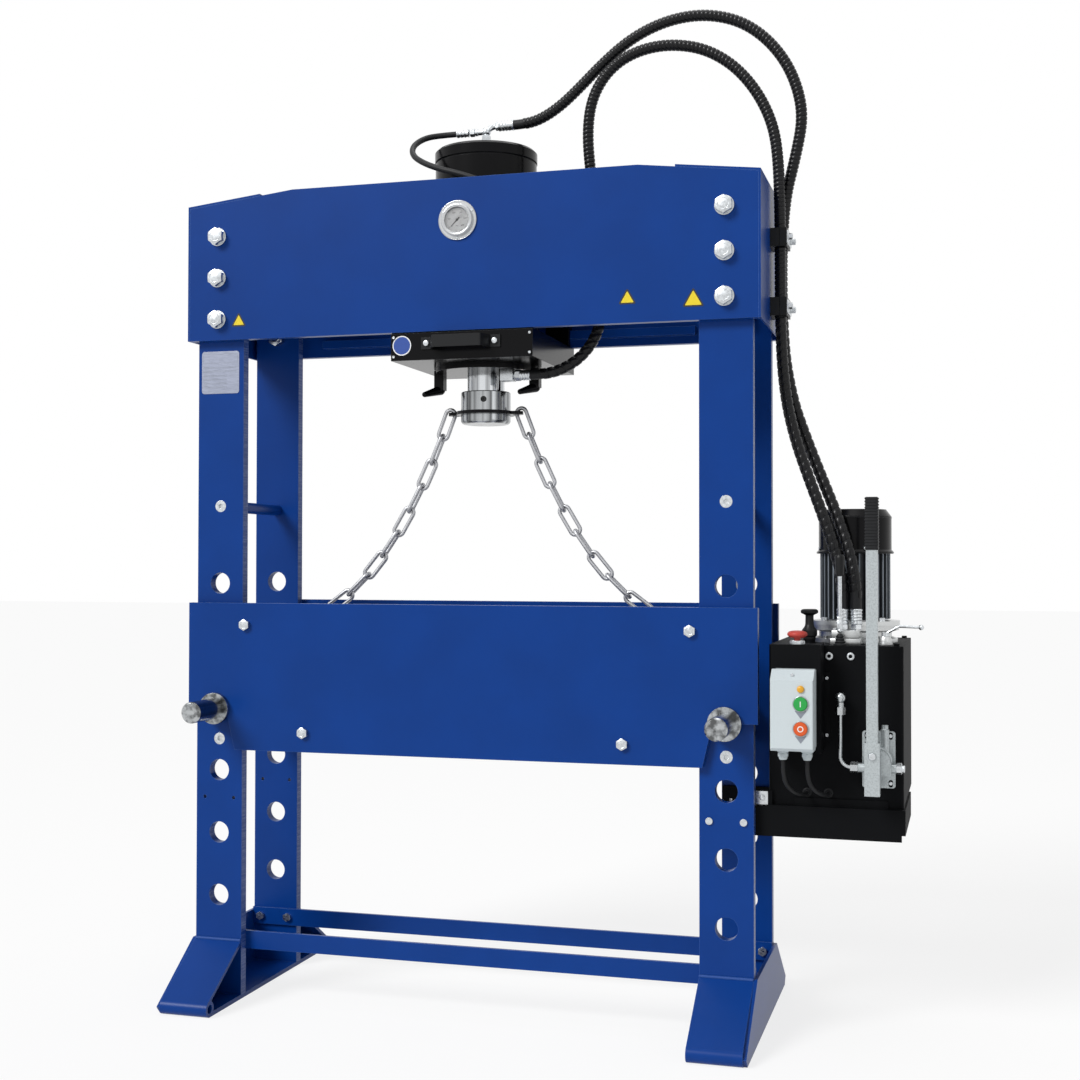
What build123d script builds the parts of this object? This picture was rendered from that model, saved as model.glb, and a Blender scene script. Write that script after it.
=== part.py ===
from build123d import *
import math
import os

# Workshop press: a bolted flat-bar frame, a beam with a cylinder that slides along it,
# a table on two pins, two lifting chains, and a motor pump unit on the right-hand side.
# The origin is on the floor, midway between the four uprights. X runs to the right,
# Y to the back and Z up. Every size is in millimetres.

os.makedirs("parts", exist_ok=True)

# Uprights
upright_width = 120.0
upright_thick = 25.0
upright_x = 615.0
upright_top = 1880.0
upright_gap = 285.0
pin_diameter = 50.0
pin_hole_diameter = pin_diameter + 0.8
pin_hole_pitch = 150.0
pin_hole_count = 6
first_hole_z = 246.0
tapped_hole_diameter = 8.5
tapped_hole_spread = 76.0
tapped_hole_z = 480.0

front_face = -(upright_gap / 2 + upright_thick)
rear_face = -front_face
inner_face = upright_gap / 2
upright_edge = upright_x + upright_width / 2
upright_inner_edge = upright_x - upright_width / 2

# Feet
foot_length = 680.0
foot_plate = 10.0
foot_slope_top = 140.0
foot_nose_radius = 18.5
foot_sheet = 8.0
foot_side_plate = 8.0

# Beam
beam_plate = 20.0
beam_overhang = 15.0
beam_half = upright_edge + beam_overhang
beam_bottom = 1582.0
beam_end_top = 1904.0
beam_mid_top = 1935.0
beam_mid_half = beam_half - 270.0
beam_front = front_face - beam_plate
beam_rear = -beam_front
cap_sheet = 5.0
cap_start_x = beam_half - 185.0

# Beam bolts
bolt_shank = 24.0
bolt_hole = bolt_shank + 1
bolt_across_flats = 1.5 * bolt_shank
bolt_head_high = 15.0
bolt_washer = 44.0
bolt_washer_thick = 4.0
bolt_nut_high = 19.0
bolt_rows = (beam_bottom + 50, beam_bottom + 150, beam_bottom + 250)

# Tubes that hold front and rear apart, with a screw at each end
spacer_diameter = 28.0
spacer_screw = 16.0
spacer_bore = spacer_screw + 0.2
spacer_screw_hole = spacer_screw + 1
screw_head = 28.0
screw_grip = 30.0
screw_socket = 11.0
screw_socket_deep = 5.0
column_spacer_rows = (621.0, 1182.0)

# Lower rails
rail_high = 43.0
rail_thick = 8.0
rail_front_z = 115.0
rail_rear_z = 105.0
small_bolt = 12.0
small_bolt_flats = 19.0
small_bolt_head = 7.5
arm_screw_head = 16.0
arm_screw_head_high = 4.0

# Rails inside the beam that the cylinder slides on
guide_bar = 20.0
guide_bar_z = 1612.0
guide_bar_half = upright_inner_edge - 65.0

# Cylinder carriage
carriage_x = 5.0
carriage_half = 172.0
carriage_bottom = beam_bottom - 66.0
carriage_half_depth = beam_rear - 4.5
carriage_gap = 0.5
hanger_thick = 14.0
hanger_width = 60.0
hanger_gap = 1.0
hanger_hook_high = 24.0
cover_thick = 4.0
cover_bottom = carriage_bottom
cover_top = beam_bottom - 3.0
handle_length = 166.0
handle_reach = 35.0
handle_high = 28.0
handle_thick = 4.0
handle_z = carriage_bottom + 38.0
cover_screw = 8.0

# Cylinder
barrel_diameter = 245.0
barrel_bore = barrel_diameter - 45.0
barrel_top = 2009.0
weld_groove_high = 6.0
weld_groove_deep = 3.0
cylinder_cap_diameter = barrel_diameter + 3.0
cylinder_top = barrel_top + 30.0
cylinder_chamfer = 6.0
cylinder_port = 16.0
cylinder_roof = 44.0
piston_gap = 8.0
gland_flange_diameter = barrel_diameter - 5.0
gland_flange_high = 12.0
gland_spigot = 40.0
horn_radius = gland_flange_diameter / 2 + 1
horn_y = 12.0
horn_width = 24.0
horn_drop = 48.0
horn_tip = 6.5
rod_diameter = 90.0
rod_fit = 0.05
rod_in_collar = 57.0
piston_high = 50.0
collar_diameter = rod_diameter + 30.0
collar_bottom = 1380.0
collar_high = 77.0
collar_round = 9.0
collar_chamfer = 2.0
collar_screw_hole = 14.0
collar_screw_x = 13.0
collar_screw_up = 56.0
ring_z = 1402.0
ring_thick = 8.0
ring_diameter = collar_diameter + 24.0
ring_half_length = collar_diameter / 2 + 34.0
ring_lug_width = 34.0
ring_lug_hole = 17.0
ring_lug_x = ring_half_length - ring_lug_width / 2

# Chains
link_wire = 9.5
link_inside_length = 66.0
link_inside_width = 15.0
link_pitch = 65.0
link_count = 10
link_seat = 4.8
chain_size = 280.0
chain_start_slope = -2.6
shackle_inside = 30.0
shackle_play = 0.8

# Table
table_half = upright_edge + 12.0
table_top = 949.0
table_bottom = 598.0
table_bottom_half = upright_inner_edge + 10.0
table_shoulder_half = upright_x - pin_diameter / 2 - 2.0
table_hole_index = 3
notch_clearance = 0.3
table_side_gap = 0.5
table_spacer_places = ((upright_inner_edge - 17.0, 897.0), (upright_x - 229.0, 644.0))
table_bolt_flats = 24.0
table_bolt_head = 10.0

# Pins
pin_front = front_face - 142.5
pin_rear = rear_face + 64.5
pin_collar = 1.5 * pin_diameter
pin_collar_thick = 12.0
pin_collar_gap = 0.5
pin_end_chamfer = 3.0
pin_z = first_hole_z + table_hole_index * pin_hole_pitch

# Pressure gauge
gauge_x = -3.0
gauge_z = 1836.0
gauge_flange = 91.0
gauge_flange_thick = 3.0
gauge_bezel = 74.0
gauge_bezel_high = 11.0
gauge_case = 63.0
gauge_case_depth = 28.0
gauge_elbow = 18.0
gauge_ferrule = 15.0
gauge_dial = 60.0
gauge_dial_recess = 7.0
gauge_needle_long = 22.0
gauge_needle_tail = 8.0
gauge_needle_angle = 225.0

# Hoses
hose_diameter = 26.0
hose_bore_play = 2.0
gauge_hose_diameter = 14.0
hose_x = beam_half + cap_sheet + 21.0
hose_spread = hose_diameter + 3.0
clamp_rows = (beam_bottom + 48.0, beam_bottom + 206.0)
clamp_high = 42.0
clamp_deep = 38.0
clamp_screw = 8.0
clamp_screw_long = 16.0
top_hose_y = 8.0
port_x = 62.0
port_y = -55.0
port_size = 28.0

# Pump unit bracket
arm_high = 65.0
arm_thick = 8.0
arm_top = 514.0
arm_start_x = upright_inner_edge + 2.0
arm_long = 431.0
arm_end_x = arm_start_x + arm_long
tray_sheet = 3.0
tray_lip_high = 20.0
cross_rail_thick = 8.0
cross_rail_high = 54.0

# Oil tank
tank_left = upright_edge + 28.0
tank_right = arm_end_x + 4.0
tank_front = -126.0
tank_rear = 276.0
tank_top = 863.0
tank_corner = 6.0
tank_sheet = 3.0
plug_places = (tank_left + 131.0, tank_left + 177.0)
plug_radius = 7.0
plug_down = 19.0
lid_thick = 4.0
lid_top = tank_top + lid_thick
lid_screw = 12.0
lid_screw_high = 5.0
lid_screw_inset = 15.0
motor_opening = 90.0

# Motor
motor_x = tank_left + 173.0
motor_y = 65.0
motor_flange = 200.0
motor_fin_radius = 79.0
motor_core_radius = motor_fin_radius - 13.0
motor_fin_count = 32
motor_fin_thick = 3.2
motor_bottom = lid_top + 39.0
motor_flange_high = 10.0
motor_fin_bottom = motor_bottom + 14.0
motor_fin_top = motor_bottom + 168.0
terminal_box = 92.0
terminal_box_deep = 54.0
cowl_radius = motor_fin_radius + 3.0
cowl_rim_radius = cowl_radius + 4.0
cowl_bottom = motor_fin_top - 6.0
cowl_top = cowl_bottom + 101.0
cowl_sheet = 2.0
cowl_slope = 12.0
cowl_slot_rings = (24.0, 44.0)
cowl_slot_long = 14.0
cowl_slot_wide = 5.0
motor_shaft = 19.0
shaft_below = 20.0
fan_radius = cowl_radius - 14.0
fan_hub_radius = 24.0
fan_high = 25.0
fan_down = 55.0
fan_blade_thick = 2.5
fan_blade_count = 8

# Control valve
valve_x = tank_left + 163.0
valve_y = -76.0
valve_size = 56.0
valve_high = 36.0
lever_x = valve_x - 10.0
lever_y = -110.0
lever_ball = 6.0
boot_high = 26.0
moving_gap = 0.3
lever_top = lid_top + 199.0
lever_grip = 22.0
lever_grip_long = 48.0
lever_rod = 9.0
selector_x = tank_left + 247.0
selector_y = -60.0
selector_reach = 77.0

# Filler cap
filler_x = tank_left + 82.0
filler_y = -60.0
filler_top = lid_top + 77.0

# Controls
panel_left = tank_left + 14.0
panel_right = panel_left + 106.0
panel_front = tank_front - 79.0
panel_sheet = 3.0
panel_top = lid_top + 5.0
panel_bottom = panel_top - 232.0
box_left = panel_left + 8.0
box_right = panel_right - 8.0
box_top = panel_top - 50.0
box_bottom = box_top - 170.0
box_base_deep = 30.0
box_cover_deep = 45.0
box_slope = 22.0
box_corner = 4.0
button_x = panel_left + 72.0
button_diameter = 29.0
start_z = box_top - 70.0
stop_z = box_top - 122.0
button_travel = 4.0
button_proud = 6.0
estop_x = panel_left + 55.0
estop_y = panel_front + 19.0
estop_diameter = 43.0
estop_travel = 5.0
estop_collar_high = 8.0
estop_collar_diameter = 30.0
estop_stem = 14.0
gland_diameter = 24.0
gland_long = 24.0
gland_places = (panel_left + 29.0, panel_left + 80.0)
cable_diameter = 9.0
grommet_places = ((panel_left + 69.0, 546.0), (panel_left + 115.0, 546.0))
grommet_long = 8.0

# Hand pump
pump_x = tank_left + 237.0
pump_z = 624.0
pump_plate_wide = 70.0
pump_plate_high = 122.0
pump_plate_thick = 10.0
pump_body_radius = 27.0
pump_body_deep = 52.0
pump_lever_x = pump_x - 9.0
pivot_z = pump_z + 16.0
pivot_stud = 16.0
pivot_stud_long = 38.0
pump_bar = 24.0
pump_socket = 32.0
pump_socket_bottom = 556.0
pump_socket_top = 668.0
pump_bar_top = 1075.0
pump_grip_top = 1188.0
pump_grip = 29.0

# Suction pipe
pipe_x = pump_x - 79.0
pipe_top_z = 757.0
pipe_diameter = 8.0
pipe_low_z = 609.0


# Helpers
def bend_radii(points):
    """Radius at each corner: 0.45 of the shorter run, over the tangent of half the turn."""
    radii = []
    for before, corner, after in zip(points, points[1:], points[2:]):
        run_in = Vector(*corner) - Vector(*before)
        run_out = Vector(*after) - Vector(*corner)
        half_turn = math.radians(run_in.get_angle(run_out)) / 2
        radii.append(0.45 * min(run_in.length, run_out.length) / math.tan(half_turn))
    return radii


def cord(name, points, diameter):
    """A plain round tube along straight runs joined by tangent arcs."""
    radii = bend_radii(points)
    with BuildPart() as tube:
        with BuildLine() as route:
            FilletPolyline(*points, radius=radii)
        start = Plane(origin=route.line @ 0, z_dir=route.line % 0)
        with BuildSketch(start):
            Circle(diameter / 2)
        sweep()
    section = math.pi * diameter ** 2 / 4
    length = sum(edge.length for edge in route.edges())
    print(name, "length", round(length), "least radius", round(min(radii)),
          "volume ratio", round(tube.part.volume / (section * length), 4))
    save(tube.part, name)


def save(piece, name):
    piece.label = name
    export_step(piece, "parts/" + name + ".step")


def facing_front(x, y, z):
    """A plane that looks towards the front, with its own Y pointing up."""
    return Plane(origin=(x, y, z), x_dir=(1, 0, 0), z_dir=(0, -1, 0))


def facing_rear(x, y, z):
    """A plane that looks towards the back, with its own Y pointing up."""
    return Plane(origin=(x, y, z), x_dir=(-1, 0, 0), z_dir=(0, 1, 0))


# Uprights
def make_upright(name, side, front):
    x = side * upright_x
    y = front_face if front else inner_face
    with BuildPart() as upright:
        with BuildSketch(facing_front(x, y + upright_thick, foot_plate)):
            with Locations((0, (upright_top - foot_plate) / 2)):
                Rectangle(upright_width, upright_top - foot_plate)
            for step in range(pin_hole_count):
                with Locations((0, first_hole_z + step * pin_hole_pitch - foot_plate)):
                    Circle(pin_hole_diameter / 2, mode=Mode.SUBTRACT)
            with Locations((0, tapped_hole_z - foot_plate)):
                with GridLocations(tapped_hole_spread, 1, 2, 1):
                    Circle(tapped_hole_diameter / 2, mode=Mode.SUBTRACT)
            for row in bolt_rows:
                with Locations((0, row - foot_plate)):
                    Circle(bolt_hole / 2, mode=Mode.SUBTRACT)
        extrude(amount=upright_thick)
        for row in column_spacer_rows:
            with Locations(facing_front(x, front_face, row) if front else facing_rear(x, rear_face, row)):
                CounterSinkHole(spacer_screw_hole / 2, screw_head / 2, counter_sink_angle=90)
    save(upright.part, name)


make_upright("upright_front_left", -1, True)
make_upright("upright_front_right", 1, True)
make_upright("upright_rear_left", -1, False)
make_upright("upright_rear_right", 1, False)


# Feet
def make_foot(name, side):
    """A flat strip with its ends rolled up into noses, a sloping sheet each side and an end plate."""
    half = foot_length / 2
    nose_y = half - foot_nose_radius
    nose_z = foot_nose_radius
    slope = math.atan2(foot_slope_top - 2 * foot_nose_radius, nose_y - rear_face)
    x_inner = side * upright_inner_edge
    section = Plane(origin=(x_inner, 0, 0), x_dir=(0, 1, 0), z_dir=(1, 0, 0))
    with BuildPart() as foot:
        with BuildSketch(section):
            with Locations((0, foot_plate / 2)):
                Rectangle(2 * nose_y, foot_plate)
            for end in (-1, 1):
                with Locations((end * nose_y, nose_z)):
                    Circle(foot_nose_radius)
                    Circle(foot_nose_radius - foot_sheet, mode=Mode.SUBTRACT)
                top_y = end * (nose_y + foot_nose_radius * math.sin(slope))
                top_z = nose_z + foot_nose_radius * math.cos(slope)
                low_y = end * (nose_y + (foot_nose_radius - foot_sheet) * math.sin(slope))
                low_z = nose_z + (foot_nose_radius - foot_sheet) * math.cos(slope)
                rise = foot_sheet / math.cos(slope)
                with BuildLine():
                    Polyline((top_y, top_z), (end * rear_face, foot_slope_top),
                             (end * rear_face, foot_slope_top - rise), (low_y, low_z), close=True)
                make_face()
        extrude(amount=side * upright_width)
        side_plane = Plane(origin=(side * upright_edge, 0, 0), x_dir=(0, 1, 0), z_dir=(1, 0, 0))
        with BuildSketch(side_plane):
            with BuildLine():
                Polyline((-nose_y, 0), (nose_y, 0), (half - 2, nose_z),
                         (rear_face, foot_slope_top), (front_face, foot_slope_top),
                         (2 - half, nose_z), close=True)
            make_face()
        extrude(amount=side * foot_side_plate)
    save(foot.part, name)


make_foot("foot_left", -1)
make_foot("foot_right", 1)


# Beam: two plates, each with a guide bar welded inside that the cylinder slides on
def make_beam_plate(name, y, with_gauge):
    with BuildPart() as plate:
        with BuildSketch(facing_front(0, y, 0)):
            with BuildLine():
                Polyline((-beam_half, beam_bottom), (beam_half, beam_bottom), (beam_half, beam_end_top),
                         (beam_mid_half, beam_mid_top), (-beam_mid_half, beam_mid_top),
                         (-beam_half, beam_end_top), close=True)
            make_face()
            for row in bolt_rows:
                with Locations((-upright_x, row), (upright_x, row)):
                    Circle(bolt_hole / 2, mode=Mode.SUBTRACT)
            if with_gauge:
                with Locations((gauge_x, gauge_z)):
                    Circle(gauge_case / 2 + 0.5, mode=Mode.SUBTRACT)
        extrude(amount=beam_plate)
        inside = 1 if y < 0 else -1
        with Locations((0, inside * (guide_bar / 2 - rear_face), guide_bar_z)):
            Box(2 * guide_bar_half, guide_bar, guide_bar)
    save(plate.part, name)


make_beam_plate("beam_front_plate", front_face, True)
make_beam_plate("beam_rear_plate", beam_rear, False)

beam_slope = (beam_mid_top - beam_end_top) / (beam_half - beam_mid_half)
cap_start_z = beam_mid_top - (cap_start_x - beam_mid_half) * beam_slope

with BuildPart() as beam_end_caps:
    for side in (-1, 1):
        with BuildSketch(facing_front(0, beam_rear, 0)):
            with BuildLine():
                Polyline((side * cap_start_x, cap_start_z), (side * beam_half, beam_end_top),
                         (side * beam_half, beam_bottom), (side * (beam_half + cap_sheet), beam_bottom),
                         (side * (beam_half + cap_sheet), beam_end_top + cap_sheet),
                         (side * cap_start_x, cap_start_z + cap_sheet), close=True)
            make_face()
        extrude(amount=beam_rear - beam_front)
save(beam_end_caps.part, "beam_end_caps")


# Round and hexagon stubs that the fasteners below are made of
def disc(plane, diameter, amount, mode=Mode.ADD):
    with BuildSketch(plane) as outline:
        Circle(diameter / 2)
    extrude(outline.sketch, amount=amount, mode=mode)


def hexagon(plane, flats, amount, mode=Mode.ADD):
    with BuildSketch(plane) as outline:
        RegularPolygon(flats / 2, 6, major_radius=False, rotation=30)
    extrude(outline.sketch, amount=amount, mode=mode)


# Beam bolts: a hexagon head outside with its washer, and a nut inside the upright
def bolt_with_nut(x, z, front):
    head_plane = facing_front(x, beam_front, z) if front else facing_rear(x, beam_rear, z)
    grip = beam_plate + upright_thick
    disc(head_plane, bolt_washer, bolt_washer_thick)
    hexagon(head_plane.offset(bolt_washer_thick), bolt_across_flats, bolt_head_high)
    disc(head_plane, bolt_shank, -(grip + bolt_nut_high + bolt_washer_thick))
    hexagon(head_plane.offset(-grip), bolt_across_flats, -bolt_nut_high)


with BuildPart() as beam_bolts:
    for side in (-1, 1):
        for row in bolt_rows:
            bolt_with_nut(side * upright_x, row, True)
            bolt_with_nut(side * upright_x, row, False)
save(beam_bolts.part, "beam_bolts")


# Spacer tubes and their screws
def tube_between(x, z, half_length):
    back_plane = facing_front(x, half_length, z)
    disc(back_plane, spacer_diameter, 2 * half_length)
    disc(back_plane, spacer_bore, 2 * half_length, Mode.SUBTRACT)


def countersunk_screw(plane, grip):
    """A countersunk screw with a hexagon socket, flush with the face that it is seen on."""
    disc(plane, spacer_screw, -grip)
    head_deep = (screw_head - spacer_screw) / 2
    with Locations(plane):
        Cone(spacer_screw / 2, screw_head / 2, head_deep, align=(Align.CENTER, Align.CENTER, Align.MAX))
    hexagon(plane, screw_socket, -screw_socket_deep, Mode.SUBTRACT)


with BuildPart() as column_spacers:
    for side in (-1, 1):
        for row in column_spacer_rows:
            tube_between(side * upright_x, row, inner_face)
save(column_spacers.part, "column_spacers")


def hexagon_bolt(plane, grip, flats=small_bolt_flats, high=small_bolt_head, shank=small_bolt):
    hexagon(plane, flats, high)
    disc(plane, shank, -grip)


rail_bolt_half = tapped_hole_spread / 2

with BuildPart() as frame_screws:
    for side in (-1, 1):
        for row in column_spacer_rows:
            for plane in (facing_front(side * upright_x, front_face, row),
                          facing_rear(side * upright_x, rear_face, row)):
                countersunk_screw(plane, upright_thick + screw_grip)
        for offset_x in (-rail_bolt_half, rail_bolt_half):
            bolt_x = side * upright_x + offset_x
            rear_plane = facing_front(bolt_x, inner_face - rail_thick, rail_rear_z + rail_high / 2)
            hexagon_bolt(rear_plane, rail_thick)
            front_plane = facing_rear(bolt_x, rail_thick - inner_face, rail_front_z + rail_high / 2)
            hexagon_bolt(front_plane, rail_thick)
    for offset_x in (-rail_bolt_half, rail_bolt_half):
        with Locations(facing_front(upright_x + offset_x, front_face, tapped_hole_z)):
            Cylinder(tapped_hole_diameter / 2, upright_thick + arm_thick + 3,
                     align=(Align.CENTER, Align.CENTER, Align.MAX))
            Cylinder(arm_screw_head / 2, arm_screw_head_high,
                     align=(Align.CENTER, Align.CENTER, Align.MIN))
save(frame_screws.part, "frame_screws")


# Lower rails, drilled for their bolts
with BuildPart() as lower_rails:
    for plane_y, low_z in ((-inner_face + rail_thick, rail_front_z), (inner_face, rail_rear_z)):
        with BuildSketch(facing_front(0, plane_y, low_z + rail_high / 2)):
            Rectangle(2 * upright_edge, rail_high)
            for side in (-1, 1):
                with Locations((side * upright_x, 0)):
                    with GridLocations(2 * rail_bolt_half, 1, 2, 1):
                        Circle(small_bolt / 2, mode=Mode.SUBTRACT)
        extrude(amount=rail_thick)
save(lower_rails.part, "lower_rails")

guide_inner = rear_face - guide_bar

# Carriage plate with four hangers that hook over the guide bars
hook_bottom = guide_bar_z + guide_bar / 2 + hanger_gap
hanger_y = guide_inner - hanger_gap - hanger_thick
with BuildPart() as carriage_plate:
    plate_top = beam_bottom - carriage_gap
    with BuildSketch(Plane.XY.offset(carriage_bottom)):
        with Locations((carriage_x, 0)):
            Rectangle(2 * carriage_half, 2 * carriage_half_depth)
    extrude(amount=plate_top - carriage_bottom)
    for face in (-1, 1):
        hanger_x = carriage_half - hanger_width / 2
        for place in (-hanger_x, hanger_x):
            with Locations((carriage_x + place, face * (hanger_y + hanger_thick / 2), plate_top)):
                Box(hanger_width, hanger_thick, hook_bottom - plate_top + hanger_hook_high,
                    align=(Align.CENTER, Align.CENTER, Align.MIN))
            with Locations((carriage_x + place, face * hanger_y, hook_bottom)):
                Box(hanger_width, rear_face - 2 - hanger_y, hanger_hook_high,
                    align=(Align.CENTER, Align.MIN if face > 0 else Align.MAX, Align.MIN))
    with BuildSketch(Plane.XY.offset(carriage_bottom)):
        with Locations((carriage_x, 0)):
            Circle(barrel_diameter / 2)
    extrude(amount=plate_top - carriage_bottom, mode=Mode.SUBTRACT)
save(carriage_plate.part, "carriage_plate")

# Front cover of the carriage, folded back at both ends
cover_front = -carriage_half_depth - cover_thick
with BuildPart() as carriage_cover:
    with Locations((carriage_x, -carriage_half_depth, cover_bottom)):
        Box(2 * carriage_half, cover_thick, cover_top - cover_bottom,
            align=(Align.CENTER, Align.MAX, Align.MIN))
    for side in (-1, 1):
        with BuildSketch(facing_front(carriage_x + side * handle_length / 2, cover_front, handle_z)):
            Circle(cover_screw / 2)
        extrude(amount=-cover_thick, mode=Mode.SUBTRACT)
save(carriage_cover.part, "carriage_cover")

# Handle: one bent strap with a screw through each foot
handle_foot = 26.0
handle_lean = 14.0
handle_half = handle_length / 2 + handle_foot / 2
with BuildPart() as carriage_handle:
    with BuildSketch(Plane.XY.offset(handle_z - handle_high / 2)):
        with BuildLine() as strap:
            Polyline((carriage_x - handle_half, cover_front),
                     (carriage_x - handle_half + handle_foot, cover_front),
                     (carriage_x - handle_half + handle_foot + handle_lean, cover_front - handle_reach),
                     (carriage_x + handle_half - handle_foot - handle_lean, cover_front - handle_reach),
                     (carriage_x + handle_half - handle_foot, cover_front),
                     (carriage_x + handle_half, cover_front))
            offset(amount=handle_thick, side=Side.RIGHT)
        make_face()
    extrude(amount=handle_high)
    for side in (-1, 1):
        screw_plane = facing_front(carriage_x + side * handle_length / 2,
                                   cover_front - handle_thick, handle_z)
        with BuildSketch(screw_plane):
            Circle(cover_screw / 2)
        extrude(amount=-handle_thick - cover_thick)
        with BuildSketch(screw_plane):
            Circle(cover_screw * 0.85)
        extrude(amount=4)
save(carriage_handle.part, "carriage_handle")

# Cylinder barrel: a tube with a welded end, open at the bottom for the gland
with BuildPart() as cylinder_barrel:
    with BuildSketch(Plane.XZ):
        with Locations((0, (carriage_bottom + barrel_top) / 2)):
            Rectangle(barrel_diameter, barrel_top - carriage_bottom)
        with Locations((0, (barrel_top + cylinder_top) / 2)):
            Rectangle(cylinder_cap_diameter, cylinder_top - barrel_top)
        with Locations((0, barrel_top)):
            Rectangle(2 * barrel_diameter, weld_groove_high - 2, mode=Mode.SUBTRACT)
            Rectangle(barrel_diameter - 2 * weld_groove_deep, weld_groove_high)
        with Locations((0, (carriage_bottom + cylinder_top - cylinder_roof) / 2)):
            Rectangle(barrel_bore, cylinder_top - cylinder_roof - carriage_bottom, mode=Mode.SUBTRACT)
        split(bisect_by=Plane.YZ)
    revolve(axis=Axis.Z)
    top_rim = cylinder_barrel.edges().filter_by(GeomType.CIRCLE).sort_by(Axis.Z)[-1]
    chamfer(top_rim, cylinder_chamfer)
    with BuildSketch(Plane.XY.offset(cylinder_top)):
        Circle(cylinder_port / 2)
    extrude(amount=-cylinder_roof, mode=Mode.SUBTRACT)
cylinder_barrel.part.position += (carriage_x, 0, 0)
save(cylinder_barrel.part, "cylinder_barrel")

# Gland flange: a spigot in the barrel, the rod's bore, and two horns to hang the chains on
gland_bottom = carriage_bottom - gland_flange_high
with BuildPart() as gland_flange:
    with BuildSketch(Plane.XY.offset(gland_bottom)):
        Circle(gland_flange_diameter / 2)
    extrude(amount=gland_flange_high)
    with BuildSketch(Plane.XY.offset(carriage_bottom)):
        Circle(barrel_bore / 2)
    extrude(amount=gland_spigot)
    with BuildSketch(Plane.XY.offset(gland_bottom)):
        Circle(rod_diameter / 2 + rod_fit)
    extrude(amount=gland_flange_high + gland_spigot, mode=Mode.SUBTRACT)
    for side in (-1, 1):
        with BuildSketch(Plane(origin=(side * horn_radius, horn_y, carriage_bottom - 1))):
            Rectangle(horn_width, horn_width)
        extrude(amount=-horn_drop)
        knee = Vector(side * horn_radius, horn_y, carriage_bottom - horn_drop)
        tip = knee + Vector(-26, -40, -14)
        along = (tip - knee).normalized()
        with Locations(knee):
            Sphere(horn_width / 2)
        with BuildSketch(Plane(origin=knee, z_dir=along)):
            Circle(horn_width / 2)
        with BuildSketch(Plane(origin=tip, z_dir=along)):
            Circle(horn_tip)
        loft()
        with Locations(tip):
            Sphere(horn_tip)
gland_flange.part.position += (carriage_x, 0, 0)
save(gland_flange.part, "gland_flange")

# Piston rod with its piston inside the barrel
rod_bottom = collar_bottom + collar_high - rod_in_collar
piston_top = cylinder_top - cylinder_roof - piston_gap
with BuildPart() as piston_rod:
    with BuildSketch(Plane.XY.offset(rod_bottom)):
        Circle(rod_diameter / 2)
    extrude(amount=piston_top - rod_bottom)
    with BuildSketch(Plane.XY.offset(piston_top - piston_high)):
        Circle(barrel_bore / 2 - rod_fit)
    extrude(amount=piston_high)
piston_rod.part.position += (carriage_x, 0, 0)
save(piston_rod.part, "piston_rod")

# Nose collar: a blind cup on the rod's end, with a set screw hole on the front
with BuildPart() as nose_collar:
    with BuildSketch(Plane.XY.offset(collar_bottom)):
        Circle(collar_diameter / 2)
    extrude(amount=collar_high)
    fillet(nose_collar.edges().filter_by(GeomType.CIRCLE).sort_by(Axis.Z)[0], collar_round)
    chamfer(nose_collar.edges().filter_by(GeomType.CIRCLE).sort_by(Axis.Z)[-1], collar_chamfer)
    with BuildSketch(Plane.XY.offset(rod_bottom)):
        Circle(rod_diameter / 2)
    extrude(amount=collar_high, mode=Mode.SUBTRACT)
    with BuildSketch(facing_front(collar_screw_x, -collar_diameter, collar_bottom + collar_screw_up)):
        Circle(collar_screw_hole / 2)
    extrude(amount=-collar_diameter, mode=Mode.SUBTRACT)
nose_collar.part.position += (carriage_x, 0, 0)
save(nose_collar.part, "nose_collar")

# Lifting ring: a flat plate round the collar with a lug and a hole at each end
with BuildPart() as lifting_ring:
    with BuildSketch(Plane.XY.offset(ring_z)):
        Circle(ring_diameter / 2)
        SlotOverall(2 * ring_half_length, ring_lug_width)
        Circle(collar_diameter / 2, mode=Mode.SUBTRACT)
        with Locations((-ring_lug_x, 0), (ring_lug_x, 0)):
            Circle(ring_lug_hole / 2, mode=Mode.SUBTRACT)
    extrude(amount=ring_thick)
lifting_ring.part.position += (carriage_x, 0, 0)
save(lifting_ring.part, "lifting_ring")

# Chains: each hangs in a catenary from the ring's lug and ends in a shackle round a spacer tube
def oval_link(half_spread, inside_width, sides):
    """A closed oval of octagonal wire, lying in its own XY plane with its long axis along X."""
    turn = 180 / sides
    with BuildPart() as link:
        with BuildSketch(Plane.XY.offset(-link_wire / 2)):
            with Locations((-half_spread, 0), (half_spread, 0)):
                RegularPolygon(inside_width / 2 + link_wire, sides, major_radius=False, rotation=turn)
            make_hull()
            with BuildSketch(mode=Mode.SUBTRACT):
                with Locations((-half_spread, 0), (half_spread, 0)):
                    RegularPolygon(inside_width / 2, sides, major_radius=False, rotation=turn)
                make_hull()
        extrude(amount=link_wire)
        flat_faces = link.faces().filter_by(Axis.Z)
        chamfer(flat_faces.edges(), 0.29 * link_wire)
    return link.part


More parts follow.
